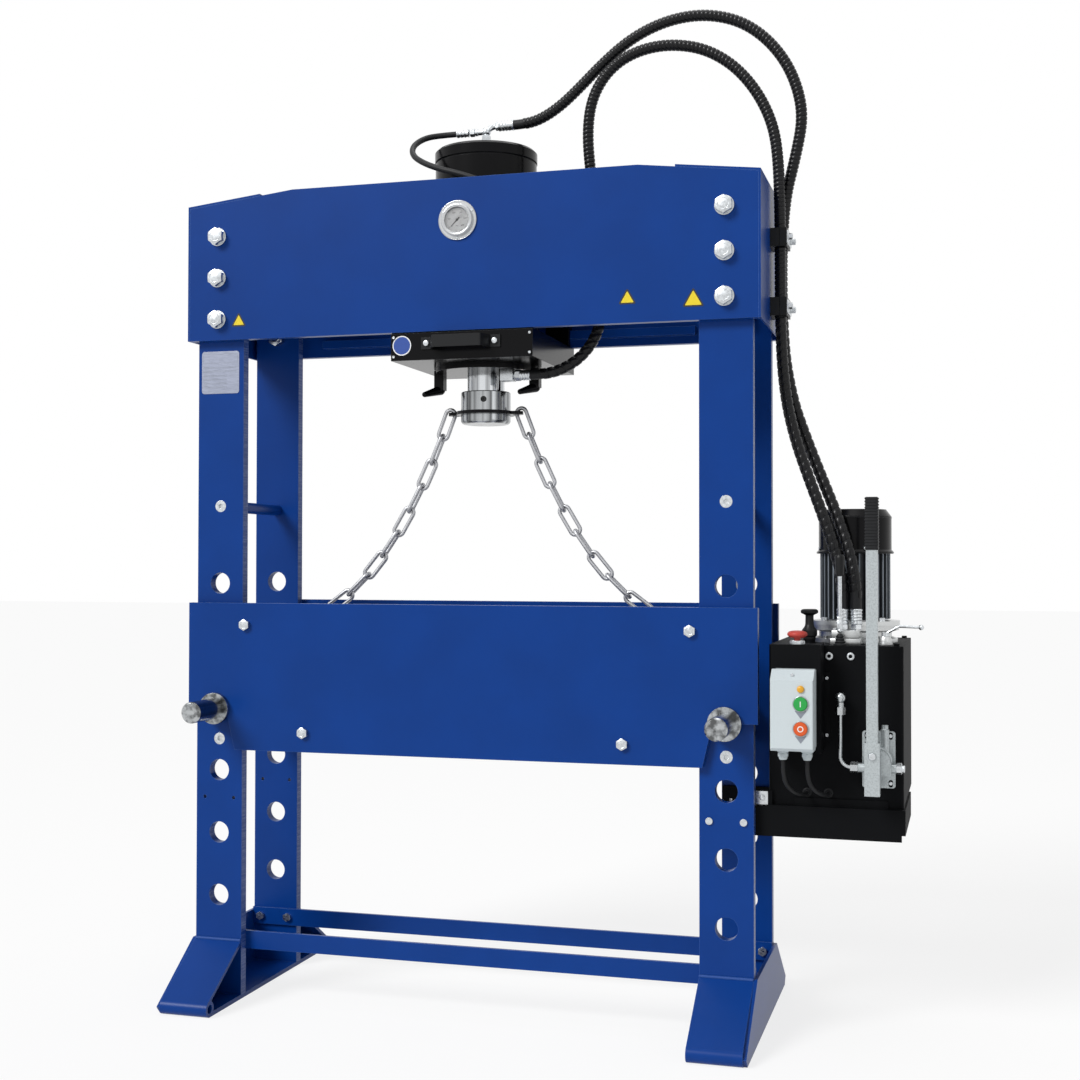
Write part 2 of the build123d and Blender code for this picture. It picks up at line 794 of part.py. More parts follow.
def chain_places(side):
    """The plane of each link, turned a quarter from its neighbour."""
    rim_x = (ring_lug_x + ring_lug_hole / 2 + ring_half_length) / 2
    steep = math.hypot(1, chain_start_slope)
    bend_z = ring_z + ring_thick - link_seat
    start_x = rim_x + (ring_z + ring_thick / 2 - bend_z) / -chain_start_slope + link_spread / steep
    start_z = bend_z + link_spread * chain_start_slope / steep
    low_z = start_z - chain_size * (steep - 1)
    first = math.asinh(chain_start_slope)
    planes = []
    for step in range(link_count):
        slope = chain_start_slope + step * link_pitch / chain_size
        x = carriage_x + side * (start_x + chain_size * (math.asinh(slope) - first))
        z = low_z + chain_size * (math.hypot(1, slope) - 1)
        along = Vector(side, 0, slope).normalized()
        across = Vector(0, 1, 0)
        normal = across if step % 2 == 0 else along.cross(across)
        planes.append(Plane(origin=(x, 0, z), x_dir=along, z_dir=normal))
    return planes


link_spread = (link_inside_length - link_inside_width) / 2
chain_link = oval_link(link_spread, link_inside_width, 8)
with BuildPart() as lifting_chains:
    for side in (-1, 1):
        places = chain_places(side)
        for place in places:
            add(place * chain_link)
        last_wire = places[-1].origin + places[-1].x_dir * (link_inside_length + link_wire) / 2
        tube = Vector(side * table_spacer_places[0][0], 0, table_spacer_places[0][1])
        along = (tube - last_wire).normalized()
        link_end = last_wire + along * (shackle_inside / 2 - link_wire / 2 - shackle_play)
        middle = (link_end + tube) / 2
        shackle = oval_link((tube - link_end).length / 2, shackle_inside, 12)
        add(Plane(origin=middle, x_dir=along, z_dir=(0, 1, 0)) * shackle)
save(lifting_chains.part, "lifting_chains")


# Table
def make_table_plate(name, y):
    with BuildPart() as plate:
        with BuildSketch(facing_front(0, y, 0)):
            with BuildLine():
                Polyline((-table_half, table_top), (-table_half, pin_z), (-table_shoulder_half, pin_z),
                         (-table_bottom_half, table_bottom), (table_bottom_half, table_bottom),
                         (table_shoulder_half, pin_z), (table_half, pin_z), (table_half, table_top),
                         close=True)
            make_face()
            with Locations((-upright_x, pin_z), (upright_x, pin_z)):
                Circle(pin_diameter / 2 + notch_clearance, mode=Mode.SUBTRACT)
            for place_x, place_z in table_spacer_places:
                with Locations((-place_x, place_z), (place_x, place_z)):
                    Circle(spacer_screw_hole / 2, mode=Mode.SUBTRACT)
        extrude(amount=beam_plate)
    save(plate.part, name)


table_face = rear_face + table_side_gap
make_table_plate("table_front_plate", -table_face)
make_table_plate("table_rear_plate", table_face + beam_plate)

with BuildPart() as table_spacers:
    outer = table_face + beam_plate
    for side in (-1, 1):
        for place_x, place_z in table_spacer_places:
            tube_between(side * place_x, place_z, table_face)
            for plane in (facing_front(side * place_x, -outer, place_z),
                          facing_rear(side * place_x, outer, place_z)):
                hexagon_bolt(plane, beam_plate + screw_grip, flats=table_bolt_flats,
                             high=table_bolt_head, shank=spacer_screw)
save(table_spacers.part, "table_spacers")


# Pins
def make_pin(name, side):
    with BuildPart() as pin:
        with BuildSketch(facing_front(side * upright_x, pin_rear, pin_z)):
            Circle(pin_diameter / 2)
        extrude(amount=pin_rear - pin_front)
        ends = pin.faces().filter_by(Axis.Y)
        chamfer(ends.edges(), pin_end_chamfer)
        collar_y = -table_face - beam_plate - pin_collar_gap
        with BuildSketch(facing_front(side * upright_x, collar_y, pin_z)):
            Circle(pin_collar / 2)
        extrude(amount=pin_collar_thick)
    save(pin.part, name)


make_pin("pin_left", -1)
make_pin("pin_right", 1)

# Pressure gauge: a flanged case let into the front plate, with a raised bezel
gauge_plane = facing_front(gauge_x, beam_front, gauge_z)
gauge_hose_y = beam_front + gauge_case_depth + gauge_elbow / 2
with BuildPart() as gauge_case_part:
    with BuildSketch(gauge_plane):
        Circle(gauge_flange / 2)
    extrude(amount=gauge_flange_thick)
    with BuildSketch(gauge_plane):
        Circle(gauge_bezel / 2)
    extrude(amount=gauge_bezel_high)
    with BuildSketch(gauge_plane):
        Circle(gauge_case / 2)
    extrude(amount=-gauge_case_depth)
    with BuildSketch(gauge_plane.offset(gauge_bezel_high)):
        Circle(gauge_dial / 2)
    extrude(amount=-gauge_dial_recess, mode=Mode.SUBTRACT)
    with Locations((gauge_x, beam_front + gauge_case_depth, gauge_z)):
        Box(gauge_elbow, gauge_elbow, gauge_elbow, align=(Align.CENTER, Align.MIN, Align.CENTER))
    ferrule = Plane(origin=(gauge_x + gauge_elbow / 2, gauge_hose_y, gauge_z), z_dir=(1, 0, 0))
    disc(ferrule, gauge_elbow, gauge_ferrule)
save(gauge_case_part.part, "gauge_case")

dial_y = beam_front - gauge_bezel_high + gauge_dial_recess
with BuildPart() as gauge_needle:
    with BuildSketch(facing_front(gauge_x, dial_y - 0.4, gauge_z)):
        with BuildLine():
            lean = math.radians(gauge_needle_angle)
            tip_x = gauge_needle_long * math.cos(lean)
            tip_z = gauge_needle_long * math.sin(lean)
            tail_x = -gauge_needle_tail * math.cos(lean)
            tail_z = -gauge_needle_tail * math.sin(lean)
            half_x = 1.4 * math.sin(lean)
            half_z = 1.4 * math.cos(lean)
            Polyline((tip_x, tip_z), (tail_x + half_x, tail_z - half_z),
                     (tail_x - half_x, tail_z + half_z), close=True)
        make_face()
    extrude(amount=1)
    with BuildSketch(facing_front(gauge_x, dial_y - 0.2, gauge_z)):
        Circle(2.6)
    extrude(amount=2.2)
save(gauge_needle.part, "gauge_needle")

# Hose clamps: two moulded halves and a plate, on the right end of the beam
cap_face = beam_half + cap_sheet
with BuildPart() as hose_clamps:
    for row in clamp_rows:
        with Locations((cap_face, 0, row)):
            Box(clamp_deep, 2 * hose_spread + 12, clamp_high, align=(Align.MIN, Align.CENTER, Align.CENTER))
        with Locations((hose_x, -hose_spread / 2, row), (hose_x, hose_spread / 2, row)):
            Cylinder((hose_diameter + hose_bore_play) / 2, clamp_high + 2, mode=Mode.SUBTRACT)
        for face in (-1, 1):
            with Locations((cap_face + clamp_deep, face * (hose_spread + 1), row)):
                Cylinder(clamp_screw / 2, clamp_screw_long, rotation=(0, 90, 0),
                         align=(Align.CENTER, Align.CENTER, Align.MIN))
save(hose_clamps.part, "hose_clamps")

# Pump bracket arms: one behind the front upright, one before the rear upright
with BuildPart() as pump_arms:
    for plane_y in (-inner_face + arm_thick, inner_face):
        with BuildSketch(facing_front((arm_start_x + arm_end_x) / 2, plane_y, arm_top - arm_high / 2)):
            Rectangle(arm_end_x - arm_start_x, arm_high)
            screw_at = upright_x - (arm_start_x + arm_end_x) / 2
            with Locations((screw_at, tapped_hole_z - arm_top + arm_high / 2)):
                with GridLocations(tapped_hole_spread, 1, 2, 1):
                    Circle(tapped_hole_diameter / 2, mode=Mode.SUBTRACT)
        extrude(amount=arm_thick)
save(pump_arms.part, "pump_arms")

# Tray that the tank stands on, with a front lip and an end rail between the arms
tray_x0 = tank_left - 4
with BuildPart() as tank_tray:
    with Locations((tray_x0, -inner_face, arm_top)):
        Box(arm_end_x - tray_x0, 2 * inner_face, tray_sheet, align=(Align.MIN, Align.MIN, Align.MIN))
    with Locations((tray_x0 + 60, tank_front - 1, arm_top)):
        Box(200, tray_sheet, tray_lip_high, align=(Align.MIN, Align.MAX, Align.MIN))
    with Locations((arm_end_x, 0, arm_top + tray_sheet)):
        Box(cross_rail_thick, 2 * inner_face, cross_rail_high, align=(Align.MIN, Align.CENTER, Align.MAX))
    with Locations((upright_edge + 2, -inner_face + arm_thick, arm_top)):
        Box(tray_x0 - upright_edge, 30, tray_sheet, align=(Align.MIN, Align.MIN, Align.MIN))
        Box(34, tray_sheet, 34, align=(Align.MIN, Align.MIN, Align.MIN))
save(tank_tray.part, "tank_tray")

# Oil tank: a folded sheet box with rounded upright corners, open at the top under its lid
tank_bottom = arm_top + tray_sheet
tank_mid_x = (tank_left + tank_right) / 2
tank_mid_y = (tank_front + tank_rear) / 2
tank_wide = tank_right - tank_left
tank_long = tank_rear - tank_front
with BuildPart() as oil_tank:
    with BuildSketch(Plane.XY.offset(tank_bottom)):
        with Locations((tank_mid_x, tank_mid_y)):
            RectangleRounded(tank_wide, tank_long, tank_corner)
    extrude(amount=tank_top - tank_bottom)
    with BuildSketch(Plane.XY.offset(tank_bottom + tank_sheet)):
        with Locations((tank_mid_x, tank_mid_y)):
            RectangleRounded(tank_wide - 2 * tank_sheet, tank_long - 2 * tank_sheet,
                             tank_corner - tank_sheet + 0.5)
    extrude(amount=tank_top - tank_bottom, mode=Mode.SUBTRACT)
    for plug_x in plug_places:
        with BuildSketch(facing_front(plug_x, tank_front, tank_top - plug_down)):
            Circle(plug_radius)
        extrude(amount=3)
save(oil_tank.part, "oil_tank")

with BuildPart() as tank_lid:
    with BuildSketch(Plane.XY.offset(tank_top)):
        with Locations((tank_mid_x, tank_mid_y)):
            RectangleRounded(tank_wide, tank_long, tank_corner)
        with Locations((motor_x, motor_y)):
            Circle(motor_opening / 2, mode=Mode.SUBTRACT)
    extrude(amount=lid_thick)
    with BuildSketch(Plane.XY.offset(lid_top)):
        with Locations((tank_mid_x, tank_mid_y)):
            with GridLocations(tank_wide - 2 * lid_screw_inset, tank_long - 2 * lid_screw_inset, 2, 2):
                Circle(lid_screw / 2)
    extrude(amount=lid_screw_high)
    with Locations((filler_x, filler_y, lid_top)):
        Cylinder(13, 9.7, align=(Align.CENTER, Align.CENTER, Align.MIN))
save(tank_lid.part, "tank_lid")

# Bell housing between lid and motor
with BuildPart() as bell_housing:
    bell_profile = ((95, lid_top), (95, lid_top + 9), (82, lid_top + 13), (82, motor_bottom - 15),
                    (98, motor_bottom - 11), (98, motor_bottom), (42, motor_bottom), (42, lid_top))
    with BuildSketch(Plane.XZ):
        with BuildLine():
            Polyline(*bell_profile, close=True)
        make_face()
    revolve(axis=Axis.Z)
    with PolarLocations(88, 4, start_angle=45):
        with Locations((0, 0, lid_top + 9)):
            Cylinder(5, 6, align=(Align.CENTER, Align.CENTER, Align.MIN))
bell_housing.part.position += (motor_x, motor_y, 0)
save(bell_housing.part, "bell_housing")

# Motor: flange, finned body and terminal box
with BuildPart() as motor_body:
    with BuildSketch(Plane.XY.offset(motor_bottom)):
        Circle(motor_flange / 2)
    extrude(amount=motor_flange_high)
    with BuildSketch(Plane.XY.offset(motor_bottom)):
        Circle(motor_core_radius)
    extrude(amount=motor_fin_top - motor_bottom)
    with BuildSketch(Plane.XY.offset(motor_fin_bottom)):
        with PolarLocations((motor_core_radius + motor_fin_radius) / 2 - 1, motor_fin_count):
            Rectangle(motor_fin_radius - motor_core_radius + 2, motor_fin_thick)
    extrude(amount=motor_fin_top - motor_fin_bottom)
    with Locations((0, motor_core_radius - 4, (motor_fin_bottom + motor_fin_top) / 2)):
        Box(terminal_box, terminal_box_deep, terminal_box, align=(Align.CENTER, Align.MIN, Align.CENTER))
    with BuildSketch(Plane.XY.offset(motor_bottom)):
        Circle(motor_shaft / 2 + 0.05)
    extrude(amount=motor_fin_top - motor_bottom, mode=Mode.SUBTRACT)
motor_body.part.position += (motor_x, motor_y, 0)
save(motor_body.part, "motor_body")

# Fan cowl: a pressed cup with a rolled rim and a ring of slots in its roof
with BuildPart() as fan_cowl:
    cowl_profile = ((cowl_radius, cowl_bottom), (cowl_rim_radius, cowl_bottom),
                    (cowl_rim_radius, cowl_bottom + 5), (cowl_radius, cowl_bottom + 9),
                    (cowl_radius, cowl_top - 16), (cowl_radius - cowl_slope, cowl_top), (0, cowl_top),
                    (0, cowl_top - cowl_sheet),
                    (cowl_radius - cowl_slope - cowl_sheet, cowl_top - cowl_sheet),
                    (cowl_radius - cowl_sheet, cowl_top - 17), (cowl_radius - cowl_sheet, cowl_bottom))
    with BuildSketch(Plane.XZ):
        with BuildLine():
            Polyline(*cowl_profile, close=True)
        make_face()
    revolve(axis=Axis.Z)
    with BuildSketch(Plane.XY.offset(cowl_top)):
        for ring_radius in cowl_slot_rings:
            with PolarLocations(ring_radius, 8):
                SlotOverall(cowl_slot_long, cowl_slot_wide, rotation=90)
    extrude(amount=-2 * cowl_sheet, mode=Mode.SUBTRACT)
fan_cowl.part.position += (motor_x, motor_y, 0)
save(fan_cowl.part, "fan_cowl")

# Rotor: the shaft with its fan under the cowl
with BuildPart() as motor_rotor:
    with BuildSketch(Plane.XY.offset(motor_bottom - shaft_below)):
        Circle(motor_shaft / 2)
    extrude(amount=cowl_top - fan_down + fan_high - motor_bottom + shaft_below)
    with BuildSketch(Plane.XY.offset(cowl_top - fan_down)):
        Circle(fan_hub_radius)
        with PolarLocations((fan_radius + 20) / 2, fan_blade_count):
            Rectangle(fan_radius - 20, fan_blade_thick)
    extrude(amount=fan_high)
motor_rotor.part.position += (motor_x, motor_y, 0)
save(motor_rotor.part, "motor_rotor")

# Control valve: a block on the lid with a bellows boot, two hose ends and the small screw valve
hose_end_x = valve_x + 6
hose_ends = ((hose_end_x - 15, valve_y + 26), (hose_end_x + 15, valve_y + 26))
hose_end_z = lid_top + valve_high + 42
with BuildPart() as valve_block:
    with Locations((valve_x, valve_y + 8, lid_top)):
        Box(valve_size + 10, valve_size - 4, valve_high - 4, align=(Align.CENTER, Align.CENTER, Align.MIN))
    boot = ((0, 0), (13, 0), (11, 5), (12, 7), (9, 12), (10, 14), (7, 20), (5, boot_high), (0, boot_high))
    with BuildSketch(facing_front(lever_x, lever_y, lid_top)):
        with BuildLine():
            Polyline(*boot, close=True)
        make_face()
    revolve(axis=Axis(origin=(lever_x, lever_y, lid_top), direction=(0, 0, 1)))
    for end_x, end_y in hose_ends:
        with Locations((end_x, end_y, lid_top + valve_high - 4)):
            Cylinder(11, 12, align=(Align.CENTER, Align.CENTER, Align.MIN))
        with Locations((end_x, end_y, lid_top + valve_high + 8)):
            Cylinder(13.5, 34, align=(Align.CENTER, Align.CENTER, Align.MIN))
    with Locations((selector_x, selector_y, lid_top)):
        Cylinder(14, 18, align=(Align.CENTER, Align.CENTER, Align.MIN))
save(valve_block.part, "valve_block")

# Valve lever: a ball over the boot, a clevis end, a slim rod and a plain grip
lever_pivot_z = lid_top + boot_high + lever_ball + moving_gap
with BuildPart() as valve_lever:
    with Locations((lever_x, lever_y, lever_pivot_z)):
        Sphere(lever_ball)
        Cylinder(lever_ball, 16, align=(Align.CENTER, Align.CENTER, Align.MIN))
        Cylinder(lever_rod / 2, lever_top - lever_pivot_z, align=(Align.CENTER, Align.CENTER, Align.MIN))
    with Locations((lever_x, lever_y, lever_top)):
        Cylinder(lever_grip / 2, lever_grip_long, align=(Align.CENTER, Align.CENTER, Align.MAX))
save(valve_lever.part, "valve_lever")

# Selector lever: a cranked rod with a ball on its end
selector_base = (selector_x, selector_y, lid_top + 18.3)
with BuildPart() as selector_lever:
    with Locations(selector_base):
        Cylinder(8, 9, align=(Align.CENTER, Align.CENTER, Align.MIN))
    with BuildLine() as crank:
        FilletPolyline((selector_x, selector_y, lid_top + 24), (selector_x + 30, selector_y, lid_top + 41),
                       (selector_x + selector_reach, selector_y, lid_top + 39), radius=9)
    with BuildSketch(Plane(origin=crank.line @ 0, z_dir=crank.line % 0)):
        Circle(3.2)
    sweep()
    with Locations((selector_x + selector_reach, selector_y, lid_top + 39)):
        Sphere(6)
save(selector_lever.part, "selector_lever")

# Filler cap: a mushroom cap on a threaded neck
with BuildPart() as filler_cap:
    cap_profile = ((0, lid_top + 10), (14, lid_top + 10), (17, lid_top + 30), (9, lid_top + 44),
                   (9, filler_top - 14), (19, filler_top - 9), (19, filler_top - 3),
                   (15, filler_top), (0, filler_top))
    with BuildSketch(Plane.XZ):
        with BuildLine():
            Polyline(*cap_profile, close=True)
        make_face()
    revolve(axis=Axis.Z)
filler_cap.part.position += (filler_x, filler_y, 0)
save(filler_cap.part, "filler_cap")

# Control panel: a folded hood on the tank's front that carries the starter and the stop button
with BuildPart() as control_panel:
    with BuildSketch(Plane(origin=(panel_left, 0, 0), x_dir=(0, 1, 0), z_dir=(1, 0, 0))):
        with BuildLine():
            Polyline((tank_front, panel_top), (panel_front, panel_top), (panel_front, panel_bottom),
                     (panel_front + panel_sheet, panel_bottom),
                     (panel_front + panel_sheet, panel_top - panel_sheet),
                     (tank_front, panel_top - panel_sheet), close=True)
        make_face()
    extrude(amount=panel_right - panel_left)
    for edge_x in (panel_left, panel_right - panel_sheet):
        with Locations((edge_x, panel_front, panel_bottom)):
            Box(panel_sheet, tank_front - panel_front, panel_top - panel_bottom,
                align=(Align.MIN, Align.MIN, Align.MIN))
    with Locations((estop_x, estop_y, panel_top)):
        Cylinder(11, 4 * panel_sheet, mode=Mode.SUBTRACT)
save(control_panel.part, "control_panel")

# Starter box: a base and a cover with a sloping top, each a moulded shell
box_mid_x = (box_left + box_right) / 2
box_wide = box_right - box_left
box_high = box_top - box_bottom
base_front = panel_front - box_base_deep
cover_face = base_front - box_cover_deep
with BuildPart() as starter_base:
    with BuildSketch(facing_front(box_mid_x, panel_front, (box_bottom + box_top) / 2)):
        RectangleRounded(box_wide - 2, box_high - 2, box_corner)
    extrude(amount=box_base_deep)
save(starter_base.part, "starter_base")

with BuildPart() as starter_cover:
    with BuildSketch(Plane(origin=(box_left, 0, 0), x_dir=(0, 1, 0), z_dir=(1, 0, 0))):
        with BuildLine():
            Polyline((base_front, box_bottom), (base_front, box_top), (base_front - 14, box_top),
                     (cover_face, box_top - box_slope), (cover_face, box_bottom + 6),
                     (cover_face + 6, box_bottom), close=True)
        make_face()
    extrude(amount=box_wide)
    upright_edges = starter_cover.edges().filter_by(Axis.Z).sort_by(Axis.Y)[:2]
    fillet(upright_edges, 3)
    for button_z in (start_z, stop_z):
        with BuildSketch(facing_front(button_x, cover_face, button_z)):
            Circle(button_diameter / 2 + 0.4)
        extrude(amount=-(button_travel + 8), mode=Mode.SUBTRACT)
save(starter_cover.part, "starter_cover")


def make_button(name, z):
    with BuildPart() as button:
        with BuildSketch(facing_front(button_x, cover_face + button_travel + 1, z)):
            Circle(button_diameter / 2)
        extrude(amount=button_travel + 1 + button_proud)
        front_edge = button.faces().sort_by(Axis.Y)[0].edges()
        chamfer(front_edge, 1.5)
    save(button.part, name)


make_button("start_button", start_z)
make_button("stop_button", stop_z)

# Emergency stop: a collar on the panel and a mushroom head
with BuildPart() as estop_collar:
    with Locations((estop_x, estop_y, panel_top)):
        Cylinder(estop_collar_diameter / 2, estop_collar_high,
                 align=(Align.CENTER, Align.CENTER, Align.MIN))
    with Locations((estop_x, estop_y, panel_top)):
        Cylinder(10.8, 20, align=(Align.CENTER, Align.CENTER, Align.MAX))
    with Locations((estop_x, estop_y, panel_top)):
        Cylinder(estop_stem / 2 + 0.1, 60, mode=Mode.SUBTRACT)
save(estop_collar.part, "estop_collar")

with BuildPart() as estop_button:
    head_low = panel_top + estop_collar_high + estop_travel + 1
    stem_radius = estop_stem / 2
    stop_profile = ((0, panel_top - 12), (stem_radius, panel_top - 12),
                    (stem_radius, head_low), (14, head_low),
                    (estop_diameter / 2, head_low + 6), (estop_diameter / 2, head_low + 10),
                    (14, head_low + 15), (0, head_low + 16))
    with BuildSketch(Plane.XZ):
        with BuildLine():
            Polyline(*stop_profile, close=True)
        make_face()
    revolve(axis=Axis.Z)
estop_button.part.position += (estop_x, estop_y, 0)
save(estop_button.part, "estop_button")

# Cable glands under the starter box
gland_y = panel_front - box_base_deep / 2 - 6
with BuildPart() as cable_glands:
    for gland_x in gland_places:
        with BuildSketch(Plane(origin=(gland_x, gland_y, box_bottom - 0.5), z_dir=(0, 0, -1))):
            RegularPolygon(gland_diameter / 2, 6, major_radius=False)
        extrude(amount=10)
        with BuildSketch(Plane(origin=(gland_x, gland_y, box_bottom - 10.5), z_dir=(0, 0, -1))):
            Circle(gland_diameter / 2 - 1)
        with BuildSketch(Plane(origin=(gland_x, gland_y, box_bottom - gland_long), z_dir=(0, 0, -1))):
            Circle(cable_diameter / 2 + 3)
        loft()
    for grommet_x, grommet_z in grommet_places:
        disc(facing_front(grommet_x, tank_front, grommet_z), 2 * cable_diameter, grommet_long)
save(cable_glands.part, "cable_glands")

# Hand pump: a flange on the tank with a cross bore, two ports and the lever's pivot stud
pump_face = tank_front
pump_front = pump_face - pump_plate_thick
with BuildPart() as hand_pump_body:
    with BuildSketch(facing_front(pump_x, pump_face, pump_z)):
        RectangleRounded(pump_plate_wide, pump_plate_high, 6)
        with GridLocations(pump_plate_wide - 20, pump_plate_high - 20, 2, 2):
            SlotOverall(16, 9, rotation=90, mode=Mode.SUBTRACT)
    extrude(amount=pump_plate_thick)
    with BuildSketch(facing_front(pump_x, pump_front, pump_z)):
        Circle(pump_body_radius)
    extrude(amount=pump_body_deep)
    with Locations((pump_x, pump_front - 27, pipe_low_z)):
        Box(56, 34, 30)
        Cylinder(10, 84, rotation=(0, 90, 0))
    with BuildSketch(facing_front(pump_lever_x, pump_front - pump_body_deep + 2, pivot_z)):
        Circle(pivot_stud / 2)
    extrude(amount=pivot_stud_long)
save(hand_pump_body.part, "hand_pump_body")

# Hand pump lever: a square socket on the pivot stud with a square bar pushed into it
socket_back = pump_front - pump_body_deep - 1.5
with BuildPart() as hand_pump_lever:
    socket_long = pump_socket_top - pump_socket_bottom
    with Locations((pump_lever_x, socket_back, (pump_socket_bottom + pump_socket_top) / 2)):
        Box(pump_socket, 30, socket_long, align=(Align.CENTER, Align.MAX, Align.CENTER))
    with Locations((pump_lever_x, socket_back - 3, pump_socket_top - 2)):
        Box(pump_bar, pump_bar, pump_bar_top - pump_socket_top + 2,
            align=(Align.CENTER, Align.MAX, Align.MIN))
    with BuildSketch(facing_front(pump_lever_x, socket_back, pivot_z)):
        Circle(pivot_stud / 2 + 0.05)
    extrude(amount=pump_socket + 8, mode=Mode.SUBTRACT)
save(hand_pump_lever.part, "hand_pump_lever")

bar_mid_y = socket_back - 3 - pump_bar / 2
with BuildPart() as hand_pump_grip:
    with BuildSketch(Plane.XY.offset(pump_bar_top)):
        with Locations((pump_lever_x, bar_mid_y)):
            RectangleRounded(pump_grip, pump_grip, 4)
    extrude(amount=pump_grip_top - pump_bar_top)
save(hand_pump_grip.part, "hand_pump_grip")

# Suction pipe: elbow on the tank, bent steel pipe and the nuts at both ends
pipe_run_y = pump_front - 27
with BuildPart() as oil_pipe:
    with BuildSketch(facing_front(pipe_x, tank_front, pipe_top_z)):
        Circle(9)
    extrude(amount=tank_front - pipe_run_y)
    with Locations((pipe_x, pipe_run_y, pipe_top_z)):
        Sphere(12)
    with Locations((pipe_x, pipe_run_y, pipe_top_z - 10)):
        Cylinder(8, 12, align=(Align.CENTER, Align.CENTER, Align.MAX))
    with BuildSketch(Plane(origin=(pipe_x, pipe_run_y, pipe_top_z - 20), z_dir=(0, 0, -1))):
        RegularPolygon(9.5, 6, major_radius=False)
    extrude(amount=16)
    nut_x = pump_x - 42
    with BuildLine() as pipe_route:
        FilletPolyline((pipe_x, pipe_run_y, pipe_top_z - 30), (pipe_x, pipe_run_y, pipe_low_z),
                       (nut_x - 2, pipe_run_y, pipe_low_z), radius=22)
    with BuildSketch(Plane(origin=pipe_route.line @ 0, z_dir=pipe_route.line % 0)):
        Circle(pipe_diameter / 2)
    sweep()
    with BuildSketch(Plane(origin=(nut_x, pipe_run_y, pipe_low_z), z_dir=(-1, 0, 0))):
        RegularPolygon(11, 6, major_radius=False)
    extrude(amount=16)
save(oil_pipe.part, "oil_pipe")

# Hose ends on the cylinder: the tee on the cap and the lower port with its nuts
tee_z = cylinder_top + 52
hose_top_z = tee_z + 14
port_z = gland_bottom - port_size / 2
with BuildPart() as hose_fittings:
    with Locations((carriage_x, 0, cylinder_top)):
        Cylinder(9, 46, align=(Align.CENTER, Align.CENTER, Align.MIN))
    with Locations((carriage_x, 0, tee_z)):
        Cylinder(6, 52, rotation=(0, 90, 0), align=(Align.CENTER, Align.CENTER, Align.MAX))
        Sphere(11)
    with Locations((carriage_x - 45, 0, tee_z)):
        Cylinder(10, 30, rotation=(0, 90, 0), align=(Align.CENTER, Align.CENTER, Align.MAX))
    with BuildLine() as elbow:
        FilletPolyline((carriage_x, 0, tee_z), (carriage_x + 14, top_hose_y, hose_top_z),
                       (carriage_x + 42, top_hose_y, hose_top_z), radius=10)
    with BuildSketch(Plane(origin=elbow.line @ 0, z_dir=elbow.line % 0)):
        Circle(7)
    sweep()
    with Locations((carriage_x + 30, top_hose_y, hose_top_z)):
        Cylinder(hose_diameter / 2, 34, rotation=(0, 90, 0), align=(Align.CENTER, Align.CENTER, Align.MIN))
    with Locations((port_x, port_y, gland_bottom)):
        Box(port_size + 4, port_size + 2, port_size, align=(Align.MIN, Align.CENTER, Align.MAX))
    nut_plane = Plane(origin=(port_x + port_size + 4, port_y, port_z), z_dir=(1, 0, 0))
    hexagon(nut_plane, 24, 16)
    disc(nut_plane.offset(16), hose_diameter, 22)
save(hose_fittings.part, "hose_fittings")

# Hoses, each from fitting to fitting, with a straight stretch through both clamps
near_y = -hose_spread / 2
far_y = hose_spread / 2
hose_return_points = [
    (carriage_x + 64, top_hose_y, hose_top_z), (106, top_hose_y, hose_top_z), (148, 8, 2117), (194, 8, 2145),
    (241, 8, 2186), (290, 8, 2232), (349, 8, 2279), (412, 8, 2311), (481, 8, 2328), (552, 8, 2327),
    (622, 8, 2305), (680, 8, 2262), (726, 8, 2203), (754, 8, 2137), (765, 9, 2070), (752, 11, 1995),
    (hose_x, far_y, 1855), (hose_x, far_y, 1565), (738, 12, 1425), (774, 2, 1325), (810, -12, 1235),
    (844, -27, 1152), (872, -41, 1072), (*hose_ends[1], 1000), (*hose_ends[1], hose_end_z)]
cord("hose_return", hose_return_points, hose_diameter)

port_hose_x = port_x + port_size + 42
hose_pressure_points = [
    (port_hose_x, port_y, port_z), (port_hose_x + 40, port_y, port_z), (217, -52, 1503), (254, -44, 1529),
    (282, -34, 1567), (298, -24, 1616), (302, -16, 1700), (296, -10, 1795), (280, -8, 1890), (266, -8, 1985),
    (260, -8, 2066), (268, -8, 2138), (296, -8, 2194), (340, -8, 2234), (398, -8, 2256), (466, -8, 2260),
    (540, -8, 2243), (606, -8, 2201), (658, -8, 2140), (694, -9, 2068), (710, -11, 1995),
    (hose_x, near_y, 1855), (hose_x, near_y, 1565), (728, -26, 1425), (752, -38, 1325), (782, -48, 1240),
    (812, -54, 1160), (838, -55, 1085), (*hose_ends[0], 1015), (*hose_ends[0], hose_end_z)]
cord("hose_pressure", hose_pressure_points, hose_diameter)

gauge_hose_points = [
    (carriage_x - 75, 0, tee_z), (-108, 0, tee_z), (-146, -18, 2083), (-165, -54, 2055), (-152, -90, 2021),
    (-112, -118, 1993), (-66, -136, 1972), (-20, -147, 1957), (27, gauge_hose_y, 1940),
    (72, gauge_hose_y, 1918), (87, gauge_hose_y, 1889), (80, gauge_hose_y, 1857),
    (54, gauge_hose_y, gauge_z), (gauge_x + gauge_elbow / 2 + gauge_ferrule, gauge_hose_y, gauge_z)]
cord("gauge_hose", gauge_hose_points, gauge_hose_diameter)

# Cables from the glands to their grommets low on the tank's front
cable_start_z = box_bottom - gland_long
grommet_front = tank_front - grommet_long
supply_gland, motor_gland = gland_places
cable_supply_points = [
    (supply_gland, gland_y, cable_start_z), (supply_gland, gland_y, 600), (751, -219, 574), (763, -203, 558),
    (776, -181, 549), (grommet_places[0][0], -158, grommet_places[0][1]),
    (grommet_places[0][0], grommet_front, grommet_places[0][1])]
cord("supply_cable", cable_supply_points, cable_diameter)

